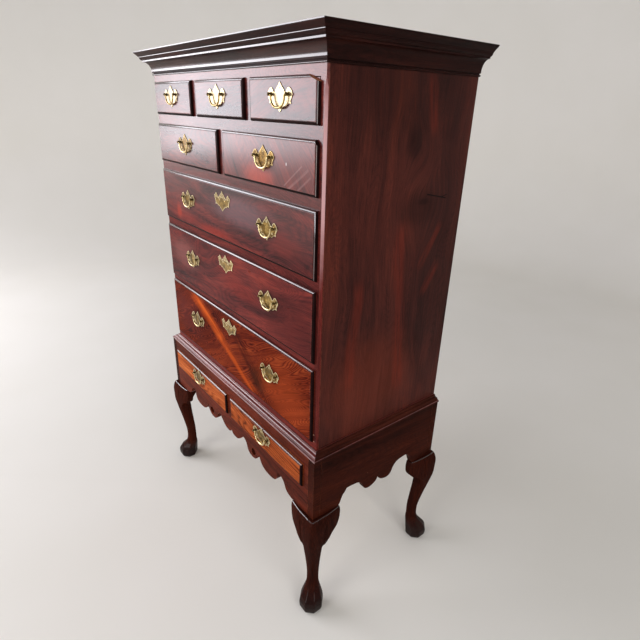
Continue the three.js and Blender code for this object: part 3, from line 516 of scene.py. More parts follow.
scratchTone = (196, 150, 146)
emberRed = (196, 64, 34)
frontBase = {
    "grain": "level",
    "tones": [(44, 16, 17), (78, 29, 28), (104, 39, 35), (138, 55, 44)],
    "shade": darkShade,
    "bare": (170, 116, 104),
    "gloss": (0.26, 0.44),
    "shine": 0.04,
    "coat": 1.0,
    "coatSpan": polishSpan,
}
standFrontLook = {
    "tones": [(92, 38, 16), (150, 70, 32), (178, 90, 44), (204, 118, 66)],
    "figure": 0.2,
    "shine": 0.01,
}
frontLooks = {
    "top_left": {"offset": (0.1, 0.3, 0.1), "coat": 0.85},
    "top_middle": {"offset": (1.3, 0.3, 0.4)},
    "top_right": {"offset": (2.2, 0.3, 0.8), "tilt": (0, 0.3, 0)},
    "pair_left": {"offset": (0.7, 0.9, 0.2), "figure": 0.14, "drift": 0.2},
    "pair_right": {
        "offset": (1.9, 0.6, 0.5), "tilt": (0, -1.0, 0), "drift": 0.2,
        "marks": [
            frontSpot(216, 1400, 90, 40, emberRed, 0.4),
            frontStreak((355, 1380), (440, 1436), 5, scratchTone, 0.2),
            frontStreak((340, 1388), (415, 1442), 3, scratchTone, 0.2),
            frontStreak((396, 1382), (450, 1420), 4, scratchTone, 0.16),
            frontSpot(350, 1440, 3, 5, (222, 206, 206), 0.8),
        ],
    },
    "long_upper": {
        "offset": (0.4, 0.1, 1.2), "drift": 0.16,
        "marks": [
            frontSpot(-290, 1198, 130, 24, (150, 42, 30), 0.3),
            frontSpot(-345, 1212, 26, 36, emberRed, 0.32),
            frontSpot(-60, 1188, 160, 18, (170, 46, 26), 0.34),
            # A pale lilac patch: painted reflection of the window's haze
            frontSpot(100, 1280, 230, 60, (130, 98, 104), 0.42),
            frontSpot(330, 1230, 120, 40, (128, 40, 30), 0.35),
        ],
    },
    "long_middle": {
        "offset": (2.4, 0.5, 1.6), "tilt": (0, 0.12, 0), "drift": 0.16,
        "knots": [frontKnot(-150, 1120, 130, 0.85)],
        "marks": [
            frontSpot(-150, 1120, 46, 16, darkShade, 0.6),
            # A pale pinkish patch on the left: painted reflection of the window's haze
            frontSpot(-330, 1050, 150, 70, (150, 92, 86), 0.4),
            frontSpot(90, 1030, 140, 36, (134, 38, 28), 0.3),
            frontSpot(360, 1010, 190, 120, (70, 20, 18), 0.5),
        ],
    },
    "long_lower": {
        "offset": (1.1, 0.2, 2.1), "tilt": (0, 0.5, 0), "drift": 0.13, "figure": 0.3, "rings": 440.0,
        "tones": [(44, 14, 9), (82, 26, 15), (106, 37, 20), (146, 64, 32)],
        "patches": 0.5, "streaks": 0.5, "shine": 0.006,
        "knots": [frontKnot(60, 740, 200, 0.6)],
        "marks": [
            frontSpot(-350, 800, 150, 110, (92, 42, 40), 0.5),
            frontStreak((-20, 905), (250, 690), 34, (52, 17, 13), 0.7),
            frontSpot(180, 745, 70, 60, (58, 32, 18), 0.5),
            frontSpot(330, 765, 170, 120, (176, 74, 34), 0.34),
            frontStreak((-290, 903), (-40, 785), 36, (190, 78, 26), 0.7),
            frontStreak((-250, 888), (-60, 796), 14, (220, 102, 38), 0.5, bend=3.2),
            frontStreak((-40, 785), (160, 690), 26, (196, 82, 28), 0.6),
            frontStreak((-150, 905), (-40, 840), 14, (60, 20, 15), 0.6),
        ],
    },
    "stand_left": {"offset": (0.5, 0.2, 2.8), **standFrontLook},
    "stand_right": {"offset": (1.7, 0.2, 3.1), **standFrontLook},
}


# Old brass, darker and paler by height as painted shade and a painted highlight, and broken wood

brassStops = (0.32, 0.46, 0.60, 0.75)
upperRowsSpan = (1.28, 1.38)  # heights between which the brasses grow darker, a painted shade, as far as their share of it goes
topRowSpan = (1.49, 1.56)  # and those between which they grow paler, a painted highlight


def oldBrass(name, tones, dull=0.38, bright=0.22, paintedShade=0.0, span=upperRowsSpan, paintedHighlight=0.0):
    material, place = newMaterial(name)
    speckle = noiseField(place, 420.0, 3.0, 0.6)
    weight = noiseField(place, 70.0, 4.0, 0.65) * 0.7 + speckle * 0.3
    tone = toneRamp(weight, brassStops, tones)
    # Lighter where the wear-and-sheen attribute is set, on rubbed rims and pin heads: wear and a painted
    # highlight
    tone = blendTones(tone, (246, 230, 184), wearAndSheenEdge(place) * 0.85)
    # Darker over one span of heights, paler over another: painted shade and a painted highlight
    level = axisOf(place, 2)
    duller = blendTones(tone, (196, 184, 162), 1.0, "MULTIPLY")
    tone = blendTones(tone, duller, softStep(level, *span) * paintedShade)
    tone = blendTones(tone, (246, 228, 188), softStep(level, *topRowSpan) * paintedHighlight)
    shadeWith(place, {
        "Base Color": tone,
        "Metallic": 1.0,
        "Roughness": softStep(weight, 0.3, 0.7, dull, bright, kind="LINEAR"),
        "Normal": bumpOf(speckle, 0.25, 0.0004),
    })
    return material


def rawWood(name):
    material, place = newMaterial(name)
    fibres = noiseField(place, 700.0, 4.0, 0.7, 0.08)
    tone = toneRamp(fibres, (0.3, 0.55, 0.75), [(96, 50, 28), (164, 98, 58), (198, 136, 88)])
    shadeWith(place, {"Base Color": tone, "Roughness": 0.8, "Normal": bumpOf(fibres, 0.9, 0.001)})
    return material


plateBrass = oldBrass("old_brass_finish", [
    (58, 44, 18), (112, 88, 40), (164, 134, 70), (214, 190, 130),
], paintedShade=1.0, paintedHighlight=0.36)
# Dark brass for the plates' sides: grime, and painted shade for their dark outline
grimedAndShadedBrass = oldBrass("grimed_brass_finish", [(22, 16, 9), (40, 31, 17), (64, 51, 28), (100, 84, 50)])
postBrass = oldBrass("post_brass_finish", [
    (44, 34, 17), (84, 68, 36), (128, 108, 62), (182, 162, 110),
], dull=0.3, bright=0.14)
# The bails: paler brass than the plates, worn by handling, with a painted highlight for the light they catch
handledAndLitBrass = oldBrass("handled_brass_finish", [
    (150, 128, 76), (214, 192, 138), (238, 222, 176), (250, 240, 210),
], dull=0.22, bright=0.1, paintedShade=1.0, span=topRowSpan)
brokenWood = rawWood("chipped_wood")
print("finishes made")


# Mesh helpers

def meshOf(name, bm):
    mesh = bpy.data.meshes.new(name)
    bm.to_mesh(mesh)
    bm.free()
    return mesh


def evaluatedMesh(piece):
    # The piece's mesh with its modifiers applied; the piece itself goes
    bpy.context.view_layer.update()
    result = bpy.data.meshes.new_from_object(piece.evaluated_get(bpy.context.evaluated_depsgraph_get()))
    bpy.data.objects.remove(piece)
    return result


def combine(piece, tool, operation):
    # Boolean with a tool object, which goes once the mesh has been read
    step = piece.modifiers.new(operation, "BOOLEAN")
    step.operation, step.object, step.solver = operation, tool, "EXACT"


def cleanMesh(mesh):
    # Joins caps to their tube and takes out faces without area
    bm = newShape(mesh)
    bmesh.ops.remove_doubles(bm, verts=bm.verts, dist=mergeReach)
    bmesh.ops.dissolve_degenerate(bm, dist=mergeReach, edges=bm.edges)
    return meshOf(mesh.name, bm)


def finishPiece(name, bm, materials, node, smoothAngle=32, addedSlot=None):
    # Rides with the node's body, and replaces the node unless it is an addition with a slot of its own
    mesh = meshOf(name, bm)
    for material in materials:
        mesh.materials.append(material)
    mesh.polygons.foreach_set("use_smooth", [True] * len(mesh.polygons))
    mesh.set_sharp_from_angle(angle=radians(smoothAngle))
    piece = linkObject(name, mesh)
    even = piece.modifiers.new("even_normals", "WEIGHTED_NORMAL")
    even.mode = "FACE_AREA"
    even.keep_sharp = True
    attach(piece, bodyOf[node])
    if not addedSlot:
        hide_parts(node)


def wearAndSheenLayer(bm):
    return bm.loops.layers.float.get("worn") or bm.loops.layers.float.new("worn")


def markWearAndSheen(bm, faces, share):
    layer = wearAndSheenLayer(bm)
    for face in faces:
        for loop in face.loops:
            loop[layer] = share


def newShape(mesh=None):
    bm = bmesh.new()
    if mesh:
        bm.from_mesh(mesh)
    wearAndSheenLayer(bm)
    return bm


def once(parts):
    # Each part once, in a fixed order, so that every run comes out the same
    return list(dict.fromkeys(parts))


def sharpEdges(bm, angle=35):
    return [e for e in bm.edges if len(e.link_faces) == 2 and e.calc_face_angle(0) > radians(angle)]


def easeEdges(bm, edges, width, segments=2, worn=1.0):
    made = bmesh.ops.bevel(
        bm, geom=edges, offset=width, offset_type="OFFSET", segments=segments, profile=0.5,
        affect="EDGES", clamp_overlap=True, material=-1,
    )
    markWearAndSheen(bm, made["faces"], worn)
    return made["faces"]


def spinProfile(bm, points, axis, angle, steps, **more):
    verts = [bm.verts.new(point) for point in points]
    edges = [bm.edges.new(pair) for pair in zip(verts, verts[1:])]
    bmesh.ops.spin(bm, geom=verts + edges, cent=(0, 0, 0), axis=axis, angle=angle, steps=steps, **more)


def cutAll(bm, place, normal, **more):
    # Cuts the whole shape by a plane and gives the edges of the cut
    cut = bmesh.ops.bisect_plane(
        bm, geom=bm.verts[:] + bm.edges[:] + bm.faces[:], dist=mergeReach,
        plane_co=place, plane_no=normal, **more,
    )
    return [part for part in cut["geom_cut"] if isinstance(part, bmesh.types.BMEdge)]


def cutAndCap(bm, place, normal, **more):
    return bmesh.ops.contextual_create(bm, geom=cutAll(bm, place, normal, **more))["faces"]


def bridgeRings(bm, rings):
    # Closed solid through a row of rings
    for first, second in zip(rings, rings[1:]):
        bmesh.ops.bridge_loops(bm, edges=first + second)
    for ring in (rings[0], rings[-1]):
        bmesh.ops.contextual_create(bm, geom=ring)


def copyOfNode(node):
    bm = newShape(frame["nodes"][node].data)
    bmesh.ops.remove_doubles(bm, verts=bm.verts, dist=mergeReach)
    bmesh.ops.dissolve_limit(bm, angle_limit=radians(0.6), verts=bm.verts, edges=bm.edges)
    return bm


def takeIn(bm, other):
    # Adds another shape to this one
    bm.from_mesh(meshOf("taken_in", other))


# Boards, frame and drawer boxes: the frame's own shapes with eased edges

boardEase = {
    "upper_side_left": (caseWood, 0.8),
    "upper_side_right": (caseWood, 0.8),
    "upper_back": (backWood, 0.8),
    "upper_drawer_frame": (railWood, 0.5),
    "stand_front": (apronWood, 0.9),
    "stand_side_left": (standWood, 0.9),
    "stand_side_right": (standWood, 0.9),
    "stand_back": (backWood, 0.9),
    **{node: (innerWood, 0.6) for node in frame["nodes"] if node.startswith("drawer_box_")},
}
chamferReach = 0.008  # how far the frame's chamfered corners reach in from its sides


def dressBoard(node, material, width):
    bm = copyOfNode(node)
    if node == "upper_drawer_frame":
        bm.normal_update()
        # The chamfered corners take the corner wood with its painted highlight
        for face in bm.faces:
            slanted = face.normal.y < -0.5 and abs(face.normal.x) > 0.5
            if slanted and abs(face.calc_center_median().x) > chestHalf - chamferReach:
                face.material_index = 1
    easeEdges(bm, sharpEdges(bm), width * millimetre)
    finishPiece(f"{node}_board", bm, [material, cornerHighlightWood], node)


for node, (material, width) in boardEase.items():
    dressBoard(node, material, width)
print("boards dressed")


# Cornice and waist moulding, swept round three sides and mitred. Sections are (outward, upward) in mm from
# the case's face and the moulding's foot

def arcPoints(centre, radius, start, end, steps, taller=1):
    # Angles in degrees from straight out
    angles = [radians(start + (end - start) * k / steps) for k in range(steps + 1)]
    return [(centre[0] + radius * cos(a), centre[1] + radius * taller * sin(a)) for a in angles]


mouldings = {
    "cornice": {
        "piece": "cornice_moulding",
        "woods": corniceWoods,
        "section": [
            (0.3, 0), *arcPoints((2.6, 2.3), 2.3, -90, 80, 7), (1.0, 4.9), (1.0, 7.6), (4.8, 8.0),
            *arcPoints((26.5, 10), 21.5, 180, 90, 18, taller=32 / 21.5),
            (27.5, 42.3), (27.5, 46.3), (31, 48), (33.6, 51), (34.6, 54.2), (35.2, 55.6), (36.2, 56),
            (36.2, 57.4), (38.0, 58.4), (40.5, 61.6), (44.0, 65), (47.2, 67.6), (48.6, 69.4), (48.8, 70.6),
            (50, 70.6), (50, 73), (0.3, 73),
        ],
        "shaded": (4.8, 12.4),  # heights of the hollow above the bead, given the darker side wood as painted shade
        "litBead": 0,
    },
    "waist_moulding": {
        "piece": "waist_moulding_swept",
        "woods": waistWoods,
        "section": [
            (0.3, 0), *arcPoints((23.5, 1.5), 1.5, -90, 0, 3), *arcPoints((22.8, 4.0), 2.2, 0, 90, 4),
            (20.5, 6.4), (20.0, 8.0), (18.8, 8.8), *arcPoints((12.0, 8.0), 6.2, 10, 84, 7),
            *arcPoints((11.8, 20.2), 6.2, 262, 186, 7)[1:], (5.0, 19.6),
            *arcPoints((3.0, 20.3), 1.4, -20, 90, 5), (0.3, 21.7),
        ],
        "shaded": (0, 0),
        "litBead": 6.3,  # the bead below this height catches the light on the sides too
    },
}


def sweepMoulding(node, moulding):
    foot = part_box(node)[0].z
    stations = [
        (-chestHalf, chestBack, -1, 0), (-chestHalf, chestFront, -1, -1),
        (chestHalf, chestFront, 1, -1), (chestHalf, chestBack, 1, 0),
    ]
    bm = newShape()
    rings = []
    for x, y, outX, outY in stations:
        places = [Vector((outX * out, outY * out, up)) * millimetre for out, up in moulding["section"]]
        verts = [bm.verts.new(Vector((x, y, foot)) + place) for place in places]
        rings.append([bm.edges.new((vert, verts[number - 1])) for number, vert in enumerate(verts)])
    bridgeRings(bm, rings)
    bmesh.ops.remove_doubles(bm, verts=bm.verts, dist=mergeReach)
    bmesh.ops.recalc_face_normals(bm, faces=bm.faces)
    bm.normal_update()
    woods = moulding["woods"]
    low, high = moulding["shaded"]
    for face in bm.faces:
        height = (face.calc_center_median().z - foot) / millimetre
        upright = len(woods) > 2 and abs(face.normal.z) < 0.16 and face.normal.y < -0.5
        lit = face.normal.z > 0.4 and height < moulding["litBead"]
        turned = abs(face.normal.x) > abs(face.normal.y) and not lit
        # Sides, and the cornice's hollow as painted shade, take the darker side wood
        face.material_index = 1 if turned or low < height < high else 2 if upright else 0
    finishPiece(moulding["piece"], bm, woods, node, 28)


for node, moulding in mouldings.items():
    sweepMoulding(node, moulding)
print("mouldings swept")


# Cabriole legs: rings bridged from foot to ledge, knee blocks fused on, then the post above

leg = {
    "ledge": 0.409,
    "spread": 0.044,
    "inset": 0.025,
    "reach": 0.085,
    "drop": 0.119,
    "blockThickness": 0.022,
    "blockEnd": 0.6,  # a block's thickness at its end, as a share of the spread
    "overlap": 0.012,  # how far a block runs in past the leg's axis
    "spare": 0.003,  # how far the tool that shapes it reaches past its end
    "blockTop": 0.95,  # where its lower outline starts, as a share of the reach
    "blockFace": (0.93, 0.68),  # its thickness at the leg and half way, as shares of the spread
    "above": 0.01,  # how far it stands above the ledge until it is cut there
    "toolSpan": (0.14, 0.16),  # how far below the ledge its tool starts, and its height
    "blockCurves": [  # control point and end of each, as shares of reach and drop
        (1.03, 0.12, 1.0, 0.32), (0.96, 0.56, 0.68, 0.64), (0.56, 0.66, 0.44, 0.78),
        (0.34, 0.90, 0.22, 1.0),
    ],
    # height share, centre, half width, squareness, panelling; as in the frame's own legs
    "sections": [
        (0, 0.25, 0.70, 2, 1), (0.012, 0.262, 0.78, 2, 1), (0.03, 0.268, 0.85, 2, 1),
        (0.055, 0.27, 0.885, 2, 1), (0.09, 0.26, 0.893, 2, 1), (0.127, 0.19, 0.83, 2, 1),
        (0.16, 0.07, 0.70, 2, 1), (0.195, -0.045, 0.56, 2, 0.9), (0.235, -0.09, 0.475, 2, 0.45),
        (0.285, -0.115, 0.448, 2, 0), (0.367, -0.10, 0.445, 2.2, 0), (0.49, 0.025, 0.493, 2.6, 0),
        (0.611, 0.173, 0.555, 3.2, 0), (0.697, 0.27, 0.605, 4, 0), (0.77, 0.345, 0.635, 5, 0),
        (0.85, 0.335, 0.665, 6.5, 0), (0.92, 0.30, 0.695, 8, 0), (0.97, 0.24, 0.66, 9, 0),
        (1.0, 0.17, 0.62, 9, 0), (1.02, 0.14, 0.60, 9, 0),
    ],
    "ringsBetween": 4,
    "sides": 48,
    "voxel": 0.0014,
    "smoothings": 3,
    "joint": (0.262, -0.03, 0.02, 12),  # where blocks meet knee: lowest, from and to, smoothings
    "chamfer": 0.0022,
    "postGap": 0.0004,  # between the ledge and the post above it
    "postEasing": 0.0009,
}


def smoothBetween(rows, steps):
    # Rows of numbers with smooth ones between them
    made = []
    padded = [rows[0], *rows, rows[-1]]
    for before, here, after, beyond in zip(padded, padded[1:], padded[2:], padded[3:]):
        for step in range(steps):
            t = step / steps
            made.append(tuple(
                b + 0.5 * t * (c - a + t * (2 * a - 5 * b + 4 * c - d + t * (3 * b - a - 3 * c + d)))
                for a, b, c, d in zip(before, here, after, beyond)
            ))
    made.append(tuple(rows[-1]))
    return made


def legRing(bm, row):
    height, centre, half, squareness, panel = row
    centre, half = centre * leg["spread"], half * leg["spread"]
    made = bmesh.ops.create_circle(bm, segments=leg["sides"], radius=1.0)
    facet = radians(45)
    for vert in made["verts"]:
        angle = atan2(vert.co.y, vert.co.x) % tau
        square = abs(cos(angle)) ** squareness + abs(sin(angle)) ** squareness
        roundReach = half / square ** (1 / squareness)
        fromFlat = (angle + facet / 2) % facet - facet / 2
        panelled = half * cos(facet / 4) / cos(fromFlat)
        reach = roundReach + (panelled - roundReach) * panel
        vert.co = (centre + reach * cos(angle), centre + reach * sin(angle), height * leg["ledge"])
    return once(e for vert in made["verts"] for e in vert.link_edges)


def curvePath(start, curves, steps=10):
    # Points along a run of curves, each given by its control point and end
    points = [start]
    for *control, endX, endZ in curves:
        began = points[-1]
        for k in range(1, steps + 1):
            t = k / steps
            points.append(tuple(
                (1 - t) ** 2 * b + 2 * t * (1 - t) * c + t * t * e
                for b, c, e in zip(began, control, (endX, endZ))
            ))
    return points


def extrudedObject(name, points, direction):
    # Closed outline of 3-D points made solid along a direction
    bm = bmesh.new()
    face = bm.faces.new([bm.verts.new(p) for p in points])
    made = bmesh.ops.extrude_face_region(bm, geom=[face])
    moved = [g for g in made["geom"] if isinstance(g, bmesh.types.BMVert)]
    bmesh.ops.translate(bm, verts=moved, vec=direction)
    bmesh.ops.recalc_face_normals(bm, faces=bm.faces)
    return linkObject(name, meshOf(name, bm))


def kneeBlock(swapped):
    # The front view cut by the plan
    reach, drop, ledge, spread = leg["reach"], leg["drop"], leg["ledge"], leg["spread"]
    corner = -leg["blockTop"] * reach
    outline = curvePath((corner, ledge), [
        (-cx * reach, ledge - cz * drop, -x * reach, ledge - z * drop) for cx, cz, x, z in leg["blockCurves"]
    ])
    top, inner, outer = ledge + leg["above"], leg["overlap"], -reach - leg["spare"]
    points = [(corner, top), *outline, (inner, ledge - drop), (inner, top)]
    block = extrudedObject("knee_front", [(x, -spread, z) for x, z in points], (0, 2 * spread, 0))
    thin, back = leg["blockEnd"] * spread, leg["inset"] - leg["blockThickness"]
    thick, halfWay = leg["blockFace"]
    face = curvePath((inner, thick * spread), [(-reach / 2, halfWay * spread, outer, thin)])
    points = [*face, (outer, back), (inner, back)]
    below, tall = leg["toolSpan"]
    tool = extrudedObject("knee_plan", [(x, y, ledge - below) for x, y in points], (0, 0, tall))
    combine(block, tool, "INTERSECT")
    mesh = evaluatedMesh(block)
    bpy.data.objects.remove(tool)
    if swapped:
        mesh.transform(Matrix(((0, 1, 0, 0), (1, 0, 0, 0), (0, 0, 1, 0), (0, 0, 0, 1))))
        mesh.flip_normals()
    return linkObject("knee_block", mesh)


def kneeReach(height):
    # How far the knee's face stands from the leg's axis at a height
    share = height / leg["ledge"]
    for below, above in zip(leg["sections"], leg["sections"][1:]):
        if below[0] <= share <= above[0]:
            along = (share - below[0]) / (above[0] - below[0])
            return leg["spread"] * (below[1] + below[2] + along * (above[1] + above[2] - below[1] - below[2]))


def smoothVerts(bm, verts, rounds):
    for _ in range(rounds):
        bmesh.ops.smooth_vert(bm, verts=verts, factor=0.5, use_axis_x=True, use_axis_y=True, use_axis_z=True)


def flushKneeBlocks(bm):
    # Moves the faces of the knee blocks so that they run into the knee without a step
    start, thin = -leg["reach"] - leg["spare"], leg["blockEnd"] * leg["spread"]
    # Where the blend ends beside the axis, how far a face may be off, and the grid that finds the faces
    knee, slack, cellSize, inner = 0.010, 0.004, 0.002, leg["overlap"]
    back, lowest = leg["inset"] - leg["blockThickness"], leg["ledge"] - leg["drop"] - slack
    for out, across in ((1, 0), (0, 1)):
        moved = [v for v in bm.verts if v.co[across] < inner and v.co[out] > back and v.co.z > lowest]
        faces = {}
        for vert in moved:
            cell = (round(vert.co[across] / cellSize), round(vert.co.z / cellSize))
            faces[cell] = max(faces.get(cell, 0.0), vert.co[out])
        for vert in moved:
            column, row = round(vert.co[across] / cellSize), round(vert.co.z / cellSize)
            face = max(faces.get((column + i, row + j), 0.0) for i in (-1, 0, 1) for j in (-1, 0, 1))
            s = min(max((vert.co[across] - start) / (-knee - start), 0.0), 1.0)
            wanted = thin + (kneeReach(min(vert.co.z, leg["ledge"])) - thin) * s * (2 - s)
            if face > thin - slack:
                vert.co[out] = back + (vert.co[out] - back) * (wanted - back) / (face - back)
    lowest, least, most, rounds = leg["joint"]
    joint = [v for v in bm.verts if v.co.z > lowest and least < min(v.co.xy) < most and max(v.co.xy) > inner]
    smoothVerts(bm, joint, rounds)


def chamferLedge(bm):
    # Slopes the rim of the ledge, whose edge is rubbed and polished
    foot = leg["ledge"] - leg["chamfer"]
    cutAll(bm, (0, 0, foot), (0, 0, 1))
    bm.normal_update()
    for vert in bm.verts:
        if vert.co.z > foot + mergeReach:
            out = sum((f.normal for f in vert.link_faces if abs(f.normal.z) < 0.7), Vector())
            out.z = 0
            if out.length:
                vert.co -= out.normalized() * (vert.co.z - foot)
    bm.normal_update()
    for face in bm.faces:
        if face.calc_center_median().z > foot and 0.3 < face.normal.z < 0.95:
            face.material_index = 2


def carvedLeg():
    # One leg below the ledge about its own axis, knee towards +x and +y
    bm = bmesh.new()
    bridgeRings(bm, [legRing(bm, row) for row in smoothBetween(leg["sections"], leg["ringsBetween"])])
    bmesh.ops.recalc_face_normals(bm, faces=bm.faces)
    body = linkObject("leg_body", meshOf("leg_body", bm))
    blocks = [kneeBlock(swapped) for swapped in (False, True)]
    for block in blocks:
        combine(body, block, "UNION")
    blend = body.modifiers.new("carve", "REMESH")
    blend.mode, blend.voxel_size = "VOXEL", leg["voxel"]
    bm = newShape(evaluatedMesh(body))
    for block in blocks:
        bpy.data.objects.remove(block)
    smoothVerts(bm, bm.verts, leg["smoothings"])
    flushKneeBlocks(bm)
    cutAndCap(bm, (0, 0, leg["ledge"]), (0, 0, 1), clear_outer=True)
    cutAndCap(bm, (0, 0, 0), (0, 0, -1), clear_outer=True)
    chamferLedge(bm)
    return meshOf("carved_leg", bm)


def legPost(node):
    # The post above the ledge, taken from the frame's own leg
    bm = copyOfNode(node)
    cutAndCap(bm, (0, 0, leg["ledge"] + leg["postGap"]), (0, 0, 1), clear_inner=True)
    easeEdges(bm, sharpEdges(bm), leg["postEasing"])
    for face in bm.faces:
        face.material_index = 1
    return bm


def buildLeg(name, sideX, sideY, carved):
    node = f"leg_{name}"
    low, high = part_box(node)
    axisX = sideX * (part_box("stand_side_right")[1].x - leg["inset"])
    axisY = standFront + leg["inset"] if sideY < 0 else chestBack - leg["inset"]
    bm = newShape(carved)
    bmesh.ops.scale(bm, verts=bm.verts, vec=(sideX, sideY, 1))
    bmesh.ops.translate(bm, verts=bm.verts, vec=(axisX, axisY, 0))
    if sideX * sideY < 0:
        bmesh.ops.reverse_faces(bm, faces=bm.faces)
    takeIn(bm, legPost(node))
    for vert in bm.verts:
        vert.co = [min(max(c, least), most) for c, least, most in zip(vert.co, low, high)]
    finishPiece(f"{node}_carved", bm, [legWood, standWood, legEdgeWood], node, 40)


carved = carvedLeg()
corners = {"front_left": (-1, -1), "front_right": (1, -1), "back_left": (-1, 1), "back_right": (1, 1)}
for name, (sideX, sideY) in corners.items():
    buildLeg(name, sideX, sideY, carved)
print("legs carved")


# Drawer fronts with a thumbnail edge

front = {
    "lip": 0.010,
    "fillet": 0.0010,
    "thumb": 0.0072,
    "quirk": 0.0012,
    "easing": 0.0004,
    "rim": 0.002,  # edges within this reach of the face are the block's front rim
    "grime": (0.056, 0.05, 0.038),  # radii of the dark wax and painted shadow left round a brass
}
litSides = ("top_right", "pair_right", "long_upper")  # fronts whose right lip catches the light
chips = {
    # how far the break at a front's upper right corner reaches along x and z, and its material slot; slot 3,
    # the near-black lip wood, paints the shade in a notch
    "top_right": {"cut": (0.046, 0.016), "finish": 1},
    "pair_right": {"cut": (0.014, 0.017), "finish": 3},
}
broken = {"lean": -0.004, "cuts": 3, "rough": 0.0012}  # how far the break leans, its fineness and roughness


def chipCorner(bm, corner, chip):
    # Breaks a corner off a lip and leaves rough wood
    width, height = chip["cut"]
    along = Vector((width, 0, -height))
    normal = Vector((height, broken["lean"], width)).normalized()
    lean = normal - along * (normal.dot(along) / along.length_squared)
    faces = cutAndCap(bm, (corner.x - width, corner.y, corner.z), lean, clear_outer=True)
    for face in faces:
        face.material_index = chip["finish"]
    split = bmesh.ops.triangulate(bm, faces=faces)["faces"]
    inner = once(e for f in split for e in f.edges if all(g in split for g in e.link_faces))
    bmesh.ops.subdivide_edges(bm, edges=inner, cuts=broken["cuts"], use_grid_fill=True)
    rng = random.Random(7)
    for vert in bm.verts:
        if all(f in split or f.material_index == chip["finish"] for f in vert.link_faces):
            vert.co -= lean * rng.uniform(0.0, broken["rough"])


# Dark spots round the brasses: wax grime and a painted shadow
def grimeAndShadowAround(name):
    boxes = [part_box(node) for node in frame["nodes"] if node.startswith(f"handle_plate_{name}")]
    return [spotAt((low + high) / 2, front["grime"], darkShade, 0.8, ragged=0.2) for low, high in boxes]


def flatFace(bm):
    return max((f for f in bm.faces if f.normal.y < -0.99), key=lambda f: f.calc_area())


def lippedFront(name):
    node = f"drawer_front_{name}"
    low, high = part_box(node)
    inStand = name.startswith("stand")
    frameY = standFront if inStand else chestFront
    lipFront = frameY - front["lip"]
    bm = newShape()
    block = bmesh.ops.create_cube(bm, size=1.0)["verts"]
    least = Vector((low.x, lipFront + front["fillet"], low.z))
    most = Vector((high.x, frameY - seatGap, high.z))
    bmesh.ops.scale(bm, verts=block, vec=most - least)
    bmesh.ops.translate(bm, verts=block, vec=(most + least) / 2)
    rim = [e for e in bm.edges if all(v.co.y < lipFront + front["rim"] for v in e.verts)]
    rounded = easeEdges(bm, rim, front["thumb"], segments=8, worn=0.0)
    bm.normal_update()
    # Lips facing up, and the lit right lips, take the glossy lip wood; the others the near-black lip wood,
    # painted shade
    for face in rounded:
        turned = abs(face.normal.z) < 0.12 and 0.14 < face.normal.x < 0.5
        face.material_index = 2 if face.normal.z > 0.12 or name in litSides and turned else 3
    bmesh.ops.inset_region(
        bm, faces=[flatFace(bm)], thickness=front["quirk"], depth=0.0, use_even_offset=True,
    )
    flat = flatFace(bm)
    raised = bmesh.ops.extrude_face_region(bm, geom=[flat])
    verts = [g for g in raised["geom"] if isinstance(g, bmesh.types.BMVert)]
    bmesh.ops.translate(bm, verts=verts, vec=(0, -front["fillet"], 0))
    bmesh.ops.delete(bm, geom=[flat], context="FACES_ONLY")
    crisp = [e for e in sharpEdges(bm, 40) if all(v.co.y < lipFront + mergeReach for v in e.verts)]
    easeEdges(bm, crisp, front["easing"])
    if name in chips:
        chipCorner(bm, Vector((high.x, lipFront, high.z)), chips[name])
    behind = copyOfNode(node)
    cutAndCap(behind, (0, frameY - seatGap / 2, 0), (0, 1, 0), clear_inner=True)
    takeIn(bm, behind)
    look = {**frontBase, **frontLooks[name]}
    look["marks"] = look.get("marks", []) + grimeAndShadowAround(name)
    wood = polishedWood(f"front_wood_{name}", look)
    lip = standLipWood if inStand else lipWood
    finishPiece(f"{name}_front", bm, [wood, brokenWood, lip, paintedShadeLipWood], node)


for name in frontLooks:
    lippedFront(name)
print("drawer fronts made")


# Brasses: bat-wing plates, turned posts, bails and escutcheons. Millimetres from the middle between the
# posts; outlines are right halves from the top point down, and True is a cusp

plate = {
    "outline": [
        (0, 27, True), (4, 22), (9, 17), (14, 12.5), (18, 8.5), (20.5, 4.5, True), (23, 3.5), (26, 5),
        (29.5, 9), (33.5, 13.5), (38, 15, True), (43.5, 12.5), (48, 8.5), (51, 4), (53, -0.5, True),
        (50, -4.5), (47.5, -9), (44.5, -13), (45.5, -20, True), (38, -19), (33, -21), (25.5, -26.5, True),
        (19, -25), (13, -28), (7, -31.5), (0, -38.5, True),
    ],
    "holes": [(0, 14, 2.0), (45.5, -1.5, 1.8), (29, -15, 1.8)],
    "thickness": 1.5,
    "rounding": 0.35,
    "rubbed": 3,  # how far in from its rim a plate is painted bright, wear and a painted highlight
}
posts = {
    "apart": 74.0,
    "stand": 8.5,
    "sides": 24,
    "bore": 1.9,
    "profile": [  # radius and distance before the drawer's face
        (0.0, 1.2), (5.2, 1.2), (5.6, 1.8), (5.2, 2.5), (3.7, 3.0), (3.0, 3.7), (3.0, 4.5), (3.5, 5.3),
        (4.1, 6.5), (4.3, 8.5), (4.1, 10.4), (3.2, 11.8), (1.6, 12.7), (0.0, 12.9),
    ],
}
bail = {
    "drop": 29.5,
    "middle": 3.1,
    "path": [  # x, z and radius, from the pin's end to the middle
        (41.2, 0.0, 1.4), (37.0, 0.0, 1.4), (33.4, 0.0, 1.428), (31.0, -0.8, 1.8), (29.7, -3.0, 2.1),
        (29.2, -7.5, 2.15), (27.6, -13.5, 2.25), (24.3, -19.4, 2.4), (18.8, -24.8, 2.65),
        (10.7, -28.4, 2.95), (0.0, -29.5, 3.1),
    ],
}
